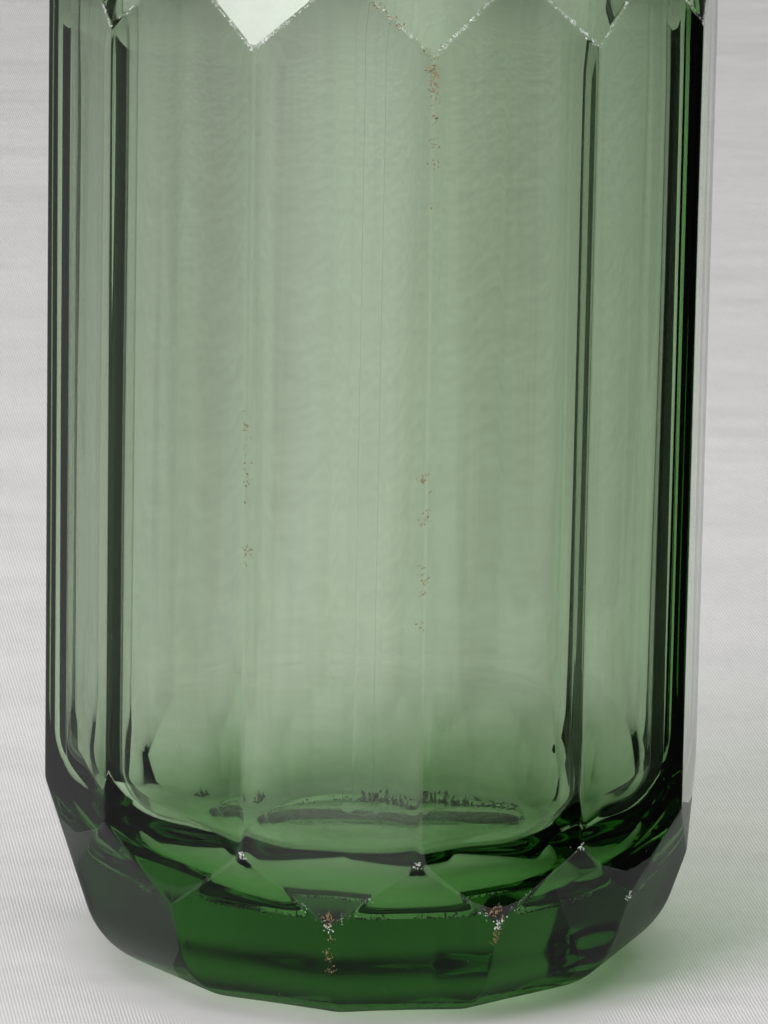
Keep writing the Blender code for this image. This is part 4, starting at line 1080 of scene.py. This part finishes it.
def make_tarnish():
    """Soft-edged blotches of two sizes."""
    group, given = new_group("tarnish", [("Position", "Vector", None), ("Scale", "Float", 60.0),
                                         ("Spread", "Float", 0.5)],
                             [("Blotches", "Float"), ("Mottle", "Float")])
    large = noise(group, given["Position"], given["Scale"], 5.0, 0.62)
    fine = noise(group, given["Position"], times(group, given["Scale"], 9.0), 3.0)
    both = compute(group, "MULTIPLY_ADD", fine, 0.22, large)
    start = compute(group, "SUBTRACT", 0.86, times(group, given["Spread"], 0.5))
    end = compute(group, "ADD", start, 0.16)
    return close_group(group, {"Blotches": between(group, both, start, end), "Mottle": fine})


def make_grain():
    """Fine unevenness: round for a casting, drawn out one way for a turned or brushed surface."""
    group, given = new_group("fine_grain", [("Position", "Vector", None), ("Scale", "Float", 900.0),
                                            ("Stretch", "Vector", (1, 1, 1))], [("Height", "Float")])
    stretched = add(group, "ShaderNodeVectorMath", {0: given["Position"], 1: given["Stretch"]},
                    operation="MULTIPLY").outputs[0]
    small = noise(group, stretched, given["Scale"], 2.0)
    broad = noise(group, stretched, times(group, given["Scale"], 0.23), 2.0)
    return close_group(group, {"Height": compute(group, "MULTIPLY_ADD", broad, 0.7, small)})


def make_pits():
    """Scattered small round marks: pits in metal, or dust and seeds in glass."""
    group, given = new_group("small_marks", [("Position", "Vector", None), ("Scale", "Float", 250.0),
                                             ("Size", "Float", 0.12), ("Share", "Float", 0.3)],
                             [("Marks", "Float")])
    cells = add(group, "ShaderNodeTexVoronoi", {"Vector": given["Position"], "Scale": given["Scale"]})
    picked = add(group, "ShaderNodeSeparateColor", {"Color": cells.outputs["Color"]}).outputs[0]
    chosen = compute(group, "LESS_THAN", picked, given["Share"])
    size = times(group, given["Size"], compute(group, "ADD", picked, 0.6))
    near = compute(group, "LESS_THAN", cells.outputs["Distance"], size)
    return close_group(group, {"Marks": times(group, near, chosen)})


# Materials

def glass(name, colour, density, ior, shade, striae, marked):
    """Clear glass tinted by its depth. Rays from lamps pass straight through it."""
    material, tree = new_material(name)
    place = object_place(tree)
    streaks = noise(tree, place, 1.0, 2.0, stretch=(75, 75, 6))
    hammered = noise(tree, place, 90.0, 2.0)
    height = compute(tree, "MULTIPLY_ADD", hammered, 0.05, streaks)
    bump = add(tree, "ShaderNodeBump", {"Height": height, "Strength": striae, "Distance": 0.0006})
    tint = (1.0, 1.0, 1.0, 1.0)
    rough = 0.0
    if marked:
        tint, rough = glass_marks(tree, place)
    shader = add(tree, "ShaderNodeBsdfPrincipled", {
        "Base Color": tint, "Transmission Weight": 1.0, "IOR": ior, "Roughness": rough,
        "Normal": bump.outputs["Normal"]})
    through = add(tree, "ShaderNodeBsdfTransparent", {"Color": (*shade, 1)})
    path = add(tree, "ShaderNodeLightPath")
    mix = add(tree, "ShaderNodeMixShader", {0: path.outputs["Is Shadow Ray"], 1: shader.outputs[0],
                                            2: through.outputs[0]})
    depth = add(tree, "ShaderNodeVolumeAbsorption", {"Color": (*colour, 1), "Density": density})
    add(tree, "ShaderNodeOutputMaterial", {"Surface": mix.outputs[0], "Volume": depth.outputs[0]})
    return material


def glass_marks(tree, place):
    """Tint and roughness of the bottle's film, its scuffed heel and its cloudy floor."""
    across = add(tree, "ShaderNodeSeparateXYZ", {0: place})
    x, y, z = (across.outputs[axis] for axis in "XYZ")
    radius = compute(tree, "SQRT", compute(tree, "ADD", times(tree, x, x), times(tree, y, y)))
    outside = between(tree, radius, BODY_RADIUS - WALL - 0.004, BODY_RADIUS - WALL - 0.001)
    on_floor = times(tree, between(tree, radius, 0.027, 0.019), between(tree, z, 0.026, 0.019))
    on_floor = times(tree, on_floor, between(tree, z, 0.012, 0.015))
    cloud = times(tree, on_floor, between(tree, noise(tree, place, 160.0, 5.0, 0.65), 0.46, 0.60))
    scuffed = times(tree, between(tree, z, 0.034, 0.022), outside)
    scuffs = times(tree, scuffed, between(tree, noise(tree, place, 420.0, 4.0, 0.7), 0.66, 0.80))
    film = noise(tree, place, 1.0, 3.0, stretch=(55, 55, 7))
    flow = noise(tree, place, 1.0, 2.0, stretch=(190, 190, 6))
    specks = use_group(tree, MARKS, {"Position": place, "Scale": 330.0, "Size": 0.045, "Share": 0.16})
    tint = mixed(tree, between(tree, film, 0.42, 0.72), (0.99, 0.99, 0.99), (0.89, 0.89, 0.87))
    tint = mixed(tree, between(tree, flow, 0.56, 0.72, 0.0, 0.5), tint, (0.80, 0.80, 0.76))
    tint = mixed(tree, times(tree, cloud, 0.55), tint, (0.84, 0.87, 0.84))
    tint = mixed(tree, times(tree, specks["Marks"], 0.75), tint, (0.30, 0.33, 0.28))
    rough = compute(tree, "MAXIMUM", times(tree, cloud, 0.30), times(tree, scuffs, 0.2))
    return tint, rough


def aged_metal(name, bright, body, tarnished, dirt, roughness, spread, grain, depth):
    """Worn metal: bright where it is rubbed, dull in blotches and dark in its corners.

    roughness is (rubbed, tarnished), and grain is (scale, stretch).
    """
    material, tree = new_material(name)
    place = object_place(tree)
    wear = use_group(tree, WEAR, {"Position": place, "Patchiness": 350.0})
    blotch = use_group(tree, TARNISH, {"Position": place, "Scale": 70.0, "Spread": spread})
    height = use_group(tree, GRAIN, {"Position": place, "Scale": grain[0], "Stretch": grain[1]})["Height"]
    pits = use_group(tree, MARKS, {"Position": place, "Scale": 420.0, "Size": 0.16, "Share": 0.22})["Marks"]
    colour = mixed(tree, blotch["Blotches"], body, tarnished)
    colour = mixed(tree, between(tree, blotch["Mottle"], 0.35, 0.75, 0.0, 0.35), colour, tarnished)
    colour = mixed(tree, times(tree, wear["Rubbed"], 0.85), colour, bright)
    colour = mixed(tree, times(tree, wear["Dirt"], 0.8), colour, dirt)
    colour = mixed(tree, times(tree, pits, 0.7), colour, dirt)
    rough = between(tree, blotch["Blotches"], 0.0, 1.0, roughness[0] + 0.08, roughness[1])
    rough = compute(tree, "MULTIPLY_ADD", height, 0.08, rough)
    rough = compute(tree, "SUBTRACT", rough, times(tree, wear["Rubbed"], 0.12))
    rough = compute(tree, "MAXIMUM", rough, times(tree, wear["Dirt"], 0.6))
    metallic = compute(tree, "SUBTRACT", 1.0, times(tree, wear["Dirt"], 0.7))
    sunk = compute(tree, "MULTIPLY_ADD", pits, -1.5, height)
    opaque(tree, colour, rough, metallic, sunk, 0.5, depth)
    return material


def aged_rubber():
    """Matt rubber, chalky in patches and paler at its edges."""
    material, tree = new_material("rubber")
    place = object_place(tree)
    wear = use_group(tree, WEAR, {"Position": place, "Patchiness": 500.0})
    blotch = use_group(tree, TARNISH, {"Position": place, "Scale": 160.0, "Spread": 0.6})
    height = use_group(tree, GRAIN, {"Position": place, "Scale": 1600.0})["Height"]
    colour = mixed(tree, blotch["Blotches"], (0.030, 0.028, 0.026), (0.075, 0.070, 0.064))
    colour = mixed(tree, times(tree, wear["Rubbed"], 0.6), colour, (0.13, 0.125, 0.115))
    rough = between(tree, blotch["Mottle"], 0.3, 0.7, 0.62, 0.85)
    opaque(tree, colour, rough, 0.0, height, 0.4, 0.00008)
    return material


def crumbly(name, light, dark, rough):
    """Opaque crumbs on the glass: crushed edges, dried dirt or silt."""
    material, tree = new_material(name)
    blotch = use_group(tree, TARNISH, {"Position": object_place(tree), "Scale": 900.0, "Spread": 0.6})
    colour = mixed(tree, blotch["Blotches"], light, dark)
    opaque(tree, colour, rough, 0.0, blotch["Mottle"], 0.6, 0.00005)
    return material


def matt(name, tone):
    """A plain grey for a card of painted shade on the stage."""
    material, tree = new_material(name)
    shader = add(tree, "ShaderNodeBsdfDiffuse", {"Color": (tone, tone, tone, 1)})
    add(tree, "ShaderNodeOutputMaterial", {"Surface": shader.outputs[0]})
    return material


# Chips and dried dirt on the glass

def random_vector(tree, low, high, seed, step):
    """A vector for each point, drawn between two corners. Each step has draws of its own."""
    limits = {"Min": low, "Max": high, "Seed": compute(tree, "ADD", seed, step)}
    return add(tree, "FunctionNodeRandomValue", limits, data_type="FLOAT_VECTOR").outputs[0]


def fleck_tree():
    """Scatters small flat flakes round each point, laid on the surface of an object."""
    wanted = (("Geometry", "Geometry"), ("Surface", "Object"), ("Finish", "Material"), ("Count", "Int"),
              ("Seed", "Int"), ("Spread", "Float"), ("Size", "Float"))
    tree, given = new_group("flecks", [(*socket, None) for socket in wanted], [("Geometry", "Geometry")],
                            "GeometryNodeTree")
    points = add(tree, "GeometryNodeMeshToPoints", {"Mesh": given["Geometry"]}).outputs[0]
    copies = add(tree, "GeometryNodeDuplicateElements", {"Geometry": points, "Amount": given["Count"]},
                 domain="POINT").outputs[0]
    side = random_vector(tree, (-1, -1, -1), (1, 1, 1), given["Seed"], 0)
    drift = add(tree, "ShaderNodeVectorMath", {0: side, "Scale": given["Spread"]}, operation="SCALE")
    strewn = add(tree, "GeometryNodeSetPosition", {"Geometry": copies, "Offset": drift.outputs[0]}).outputs[0]
    surface = add(tree, "GeometryNodeObjectInfo", {"Object": given["Surface"]}).outputs["Geometry"]
    nearest = add(tree, "GeometryNodeProximity", {0: surface}).outputs["Position"]
    laid = add(tree, "GeometryNodeSetPosition", {"Geometry": strewn, "Position": nearest}).outputs[0]
    flake = add(tree, "GeometryNodeMeshIcoSphere", {"Radius": given["Size"], "Subdivisions": 1})
    scale = random_vector(tree, (0.15, 0.12, 0.08), (1.0, 0.6, 0.3), given["Seed"], 1)
    turn = random_vector(tree, (0, 0, 0), (2 * pi, 2 * pi, 2 * pi), given["Seed"], 2)
    placed = add(tree, "GeometryNodeInstanceOnPoints", {
        "Points": laid, "Instance": flake.outputs["Mesh"], "Rotation": turn, "Scale": scale}).outputs[0]
    whole = add(tree, "GeometryNodeRealizeInstances", {0: placed}).outputs[0]
    done = add(tree, "GeometryNodeSetMaterial", {"Geometry": whole, "Material": given["Finish"]}).outputs[0]
    return close_group(tree, {"Geometry": done})


def make_flecks(name, points, surface, material, count, seed, spread, size):
    """Flakes on the glass round the given points, kept within the bottle's true size."""
    mesh = bpy.data.meshes.new(name)
    mesh.from_pydata([tuple(point) for point in points], [], [])
    flecks = link(bpy.data.objects.new(name, mesh))
    modifier = flecks.modifiers.new("Flecks", "NODES")
    modifier.node_group = FLECK_TREE
    values = {"Surface": surface, "Finish": material, "Count": count, "Seed": seed, "Spread": spread,
              "Size": size}
    for label, value in values.items():
        modifier[FLECK_TREE.interface.items_tree[label].identifier] = value
    bpy.context.view_layer.update()
    evaluated_mesh(flecks)
    for vertex in flecks.data.vertices:
        vertex.co.xy = vertex.co.xy * min(1, BODY_RADIUS / vertex.co.xy.length)
    return flecks


def on_glass(azimuth, z):
    """The point on the bottle's outside at this azimuth from the front, in degrees."""
    theta = np.array([radians(azimuth - 90)])
    reach = body_radius(theta, np.array([z]))[0]
    return Vector((reach * cos(theta[0]), reach * sin(theta[0]), z))


def on_edge(azimuth, lower, upper):
    """The point at this azimuth on the edge between two rows of facets."""
    return on_glass(azimuth, float(zigzag(np.array([radians(azimuth - 90)]), lower, upper)[0]))


def worn_stretches(draw, lower, upper, count):
    """Points along the zigzag edge between two rows of facets, in stretches of uneven length."""
    places = []
    for _ in range(count):
        middle = draw.uniform(-180, 180)
        length = draw.uniform(1, 9)
        for azimuth in draw.normal(middle, length / 2.5, int(length * 3)):
            places.append(on_edge(azimuth, lower, upper))
    return places


def dirty_places(draw):
    """Points of dried dirt, along one arm of the zigzag and down some upright edges."""
    places = [on_edge(azimuth, PANELS, ROW_1) for azimuth in draw.uniform(*DIRTY_ARM, DIRT_ON_ARM)]
    for azimuth, low, high in DIRT_RUNS:
        for drop in draw.uniform(0, 1, DIRT_IN_RUN) ** 1.5:
            places.append(on_glass(azimuth + draw.normal(0, 0.35), high - (high - low) * drop))
    return places


def silt_places(arcs):
    """Points of the dark crust on the inner floor, along arcs of the floor's ring."""
    places = []
    for start, end, radius, count in arcs:
        for heading in np.linspace(radians(start), radians(end), count):
            way = (RIGHT * sin(heading) - BACK * cos(heading)) * radius
            places.append(Vector((*(FLOOR_RING_SHIFT + way.xy), FLOOR_HEIGHT)))
    return places


def dress_flecks(bottle):
    """Crushed corners, worn edges, dried dirt and dust outside, and dark crust on the inner floor."""
    draw = np.random.default_rng(21)
    corners = [on_edge(azimuth, HEEL, PANELS) for azimuth in CHIPPED_CORNERS]
    arms = [on_edge(a, HEEL, PANELS) for ends in CHIPPED_ARMS for a in draw.uniform(*ends, CHIPS_ON_ARM)]
    rubbed = worn_stretches(draw, PANELS, ROW_1, WORN_STRETCHES[0])
    rubbed += worn_stretches(draw, ROW_1, ROW_2, WORN_STRETCHES[1])
    draw = np.random.default_rng(8)
    dirt = dirty_places(draw)
    dust = [on_glass(draw.uniform(-180, 180), draw.uniform(*DUST_HEIGHTS)) for _ in range(DUST)]
    flecks = (("corner_chips", corners, CRUSHED, 16, 3, 0.0007, 0.00028),
              ("edge_chips", arms, CRUSHED, 3, 7, 0.0007, 0.00013),
              ("rubbed_edges", rubbed, CRUSHED, 3, 19, 0.0003, 0.00017),
              ("dried_dirt", dirt, DRIED, 5, 11, 0.0006, 0.00026),
              ("dust_specks", dust, CRUSHED, 1, 13, 0.0001, 0.00010),
              ("floor_silt", silt_places(SILT_ARCS), SILT, 9, 17, 0.0013, 0.00110),
              ("floor_ring_dirt", silt_places(RING_ARCS), SILT, 3, 23, 0.0005, 0.00042))
    for name, places, material, count, seed, spread, size in flecks:
        piece = make_flecks(name, places, bottle, material, count, seed, spread, size)
        dress(piece, "bottle_and_head", "green_glass")


# Stage, light and camera

def weave_height(tree, place):
    """Relief of plain woven linen: two crossing sets of uneven threads."""
    wander = noise(tree, place, 220.0, 2.0)
    threads = []
    for axis in ("X", "Y"):
        wave = add(tree, "ShaderNodeTexWave", {"Vector": place, "Scale": CLOTH_THREADS, "Distortion": 1.6,
                                               "Detail": 2.0, "Detail Scale": 1.5}, bands_direction=axis)
        threads.append(wave.outputs["Fac"])
    return compute(tree, "MULTIPLY_ADD", compute(tree, "ADD", *threads), 0.5, times(tree, wander, 0.6))


def linen():
    """Pale linen with soft folds. Its weave is fainter where it is seen through the glass. Under the foot it
    carries painted light: a paler tone and a faint glow, seen down through the base.
    """
    material, tree = new_material("linen_floor")
    place = object_place(tree)
    away = add(tree, "ShaderNodeVectorMath", {0: place}, operation="LENGTH").outputs["Value"]
    through = add(tree, "ShaderNodeLightPath").outputs["Is Transmission Ray"]
    clear = compute(tree, "MULTIPLY_ADD", through, -0.75, 1.0)
    weave = times(tree, weave_height(tree, place), clear)
    dull = between(tree, noise(tree, place, 9.0, 3.0), 0.35, 0.65, 0.0, 0.3)
    # Painted shade in the weave's hollows and painted light on its crowns, following its relief
    cloth = mixed(tree, weave, CLOTH_SHADED_HOLLOWS, CLOTH_LIT_CROWNS)
    cloth = mixed(tree, compute(tree, "SUBTRACT", 1.0, clear), cloth, CLOTH_PLAIN)
    cloth = mixed(tree, dull, cloth, CLOTH_DULL)
    cloth = mixed(tree, between(tree, away, *WEAVE_START), CLOTH_PLAIN, cloth)
    # Painted light: the cloth under the foot is paler, brightening the view down through the base
    tone = mixed(tree, between(tree, away, 0.027, 0.040), PAINTED_LIGHT_BELOW_FOOT, cloth)
    creases = noise(tree, place, 13.0, 2.0, stretch=(1, 2.2, 1))
    folds = add(tree, "ShaderNodeBump", {"Height": creases, "Strength": 0.9, "Distance": 0.004})
    relief = between(tree, away, *WEAVE_START, 0.0, 0.35)
    bump = add(tree, "ShaderNodeBump", {"Height": weave, "Strength": relief, "Distance": 0.0003,
                                        "Normal": folds.outputs["Normal"]})
    # Painted light: a faint glow of the cloth under the foot, where there is no lamp
    painted_glow = between(tree, away, 0.040, 0.028, 0.0, 0.13)
    shader = add(tree, "ShaderNodeBsdfPrincipled", {
        "Base Color": tone, "Roughness": 0.95, "Normal": bump.outputs["Normal"],
        "Emission Color": (1.0, 0.98, 0.96, 1), "Emission Strength": painted_glow})
    add(tree, "ShaderNodeOutputMaterial", {"Surface": shader.outputs[0]})
    return material


def make_floor():
    """The wide cloth that the bottle stands on."""
    bm = bmesh.new()
    level = Matrix.Translation((0, 0, CLOTH_LEVEL))
    bmesh.ops.create_circle(bm, cap_ends=True, segments=ROUND_STEPS, radius=CLOTH_RADIUS, matrix=level)
    mesh_object("floor", bm, linen(), smooth=False)


def card(name, outline, height, tone, through_glass):
    """A dark card of painted shade on the floor that shows only through the glass or in its gloss."""
    bm = bmesh.new()
    bm.faces.new([bm.verts.new((x, y, height)) for x, y in outline])
    bmesh.ops.triangulate(bm, faces=bm.faces)
    sheet = mesh_object(name, bm, matt(name, tone), smooth=False)
    sheet.visible_camera = False
    sheet.visible_diffuse = False
    sheet.visible_shadow = False
    sheet.visible_transmission = through_glass
    sheet.visible_glossy = not through_glass


def make_shade_cards():
    """Dark cards of painted shade that darken the bottle's edges and the front of its foot, seen only through
    the glass or in its gloss.
    """
    for number, (name, (side, ahead), near, far, start, reach, tone, through_glass) in enumerate(SHADE_CARDS):
        corner = RIGHT * side - BACK * ahead
        ways = [RIGHT * sin(a) - BACK * cos(a) for a in np.linspace(radians(near), radians(far), CARD_STEPS)]
        outline = [(corner + way * reach).xy for way in ways]
        outline += [(corner + way * start).xy for way in reversed(ways)]
        card(name, outline, CARD_LEVEL + CARD_SPACING * number, tone, through_glass)


def softbox(name, azimuth, elevation, size, power):
    """A softbox that faces the bottle."""
    data = bpy.data.lights.new(name, "AREA")
    data.shape = "RECTANGLE"
    data.size, data.size_y = size
    data.energy = power
    lamp = link(bpy.data.objects.new(name, data))
    a, e = radians(azimuth), radians(elevation)
    back = Vector((sin(a) * cos(e), -cos(a) * cos(e), sin(e)))
    lamp.location = LAMP_AIM + back * LAMP_DISTANCE
    lamp.rotation_euler = back.to_track_quat("Z", "Y").to_euler()
    lamp.visible_camera = False
    lamp.visible_transmission = False


def make_room():
    """A dim room with a pale wall behind the bottle."""
    world = bpy.data.worlds.new("studio")
    bpy.context.scene.world = world
    world.use_nodes = True
    tree = world.node_tree
    way = add(tree, "ShaderNodeTexCoord").outputs["Generated"]
    behind = add(tree, "ShaderNodeVectorMath", {0: way, 1: -BACK}, operation="DOT_PRODUCT").outputs["Value"]
    height = add(tree, "ShaderNodeSeparateXYZ", {0: way}).outputs["Z"]
    wall = times(tree, between(tree, behind, 0.72, 0.86), between(tree, height, 0.55, 0.25))
    tone = mixed(tree, wall, (0.07, 0.07, 0.072), (0.42, 0.42, 0.42))
    tree.links.new(tone, tree.nodes["Background"].inputs["Color"])


def make_lights():
    """Two softboxes on the left, one overhead and one in front, and a broad weak sun from above."""
    for lamp in LAMPS:
        softbox(*lamp)
    fill = bpy.data.lights.new("fill", "SUN")
    fill.energy = 1.1
    fill.angle = radians(80)
    lamp = link(bpy.data.objects.new("fill", fill))
    lamp.visible_glossy = False
    lamp.visible_transmission = False


def make_camera():
    """The photograph's own view."""
    level = Matrix.Rotation(-CAMERA_TURN, 3, "Z") @ -BACK
    right = level.cross(Vector((0, 0, 1)))
    forward = level * cos(CAMERA_PITCH) - Vector((0, 0, sin(CAMERA_PITCH)))
    up = right.cross(forward)
    data = bpy.data.cameras.new("camera")
    data.sensor_width = SENSOR
    data.lens = FOCAL_PIXELS * SENSOR / PICTURE_HEIGHT
    camera = link(bpy.data.objects.new("camera", data))
    columns = (right * cos(CAMERA_ROLL) + up * sin(CAMERA_ROLL),
               up * cos(CAMERA_ROLL) - right * sin(CAMERA_ROLL), -forward)
    place = Matrix(columns).transposed().to_4x4()
    place.translation = BACK * CAMERA_DISTANCE + Vector((0, 0, CAMERA_HEIGHT))
    camera.matrix_world = place
    bpy.context.scene.camera = camera


WEAR = make_wear()
TARNISH = make_tarnish()
GRAIN = make_grain()
MARKS = make_pits()
FLECK_TREE = fleck_tree()
GREEN = glass("green_glass", (0.26, 0.625, 0.15), 58.0, 1.52, (0.99, 0.945, 0.99), 0.13, True)
CLEAR = glass("clear_glass", (0.97, 0.99, 0.98), 5.0, 1.02, (0.98, 0.98, 0.98), 0.02, False)
METAL = aged_metal("cast_alloy", (0.74, 0.73, 0.70), (0.48, 0.475, 0.455), (0.27, 0.262, 0.245),
                   (0.07, 0.062, 0.05), (0.24, 0.46), 0.42, (900.0, (1, 1, 1)), 0.00006)
STEEL = aged_metal("steel", (0.78, 0.78, 0.77), (0.55, 0.55, 0.54), (0.36, 0.35, 0.33),
                   (0.12, 0.07, 0.04), (0.20, 0.36), 0.25, (260.0, (1, 9, 9)), 0.00002)
BRASS = aged_metal("brass", (0.86, 0.70, 0.38), (0.60, 0.46, 0.22), (0.33, 0.24, 0.12),
                   (0.08, 0.07, 0.03), (0.20, 0.40), 0.36, (170.0, (1, 1, 14)), 0.00002)
RUBBER = aged_rubber()
CRUSHED = crumbly("crushed_glass", (0.80, 0.82, 0.81), (0.55, 0.58, 0.56), 0.55)
DRIED = crumbly("dried_dirt", (0.34, 0.22, 0.09), (0.16, 0.12, 0.07), 0.9)
SILT = crumbly("dark_silt", (0.06, 0.075, 0.06), (0.025, 0.03, 0.026), 0.7)
FINISHES = {"green_glass": GREEN, "clear_glass": CLEAR, "cast_alloy": METAL, "steel": STEEL,
            "brass": BRASS, "rubber": RUBBER}

PIECES = ((make_dip_tube, "bottle_and_head", "clear_glass", "dip_tube"),
          (make_head, "bottle_and_head", "cast_alloy", "head_body"),
          (make_lever, "thumb_lever", "cast_alloy", "lever"),
          (make_gland_nut, "bottle_and_head", "cast_alloy", "gland_nut"),
          (make_button, "stem", "brass", "stem_button"),
          (make_spring, "bottle_and_head", "steel", "valve_spring"),
          (make_lever_pin, "bottle_and_head", "steel", "lever_pin"),
          (make_pin_nut, "bottle_and_head", "steel", "pin_nut"),
          (make_spout, "bottle_and_head", "cast_alloy", "spout"),
          (make_spout_nut, "bottle_and_head", "cast_alloy", "spout_nut"),
          (make_nozzle, "bottle_and_head", "cast_alloy", "nozzle"))

bottle = dress(make_bottle(GREEN), "bottle_and_head", "green_glass", "bottle")
dress_flecks(bottle)
for make, body, slot, node in PIECES:
    dress(make(FINISHES[slot]), body, slot, node)

for subpart in frame["record"]["subparts"]:
    node = NODES[subpart["node"]]
    node.data.materials.clear()
    node.data.materials.append(FINISHES[subpart["material_slot"]])

make_floor()
make_shade_cards()
make_room()
make_lights()
make_camera()
scene = bpy.context.scene
scene.view_settings.view_transform = "Standard"
scene.cycles.max_bounces = 24
scene.cycles.transmission_bounces = 24
scene.cycles.transparent_max_bounces = 24
scene.cycles.caustics_refractive = False
scene.cycles.caustics_reflective = False
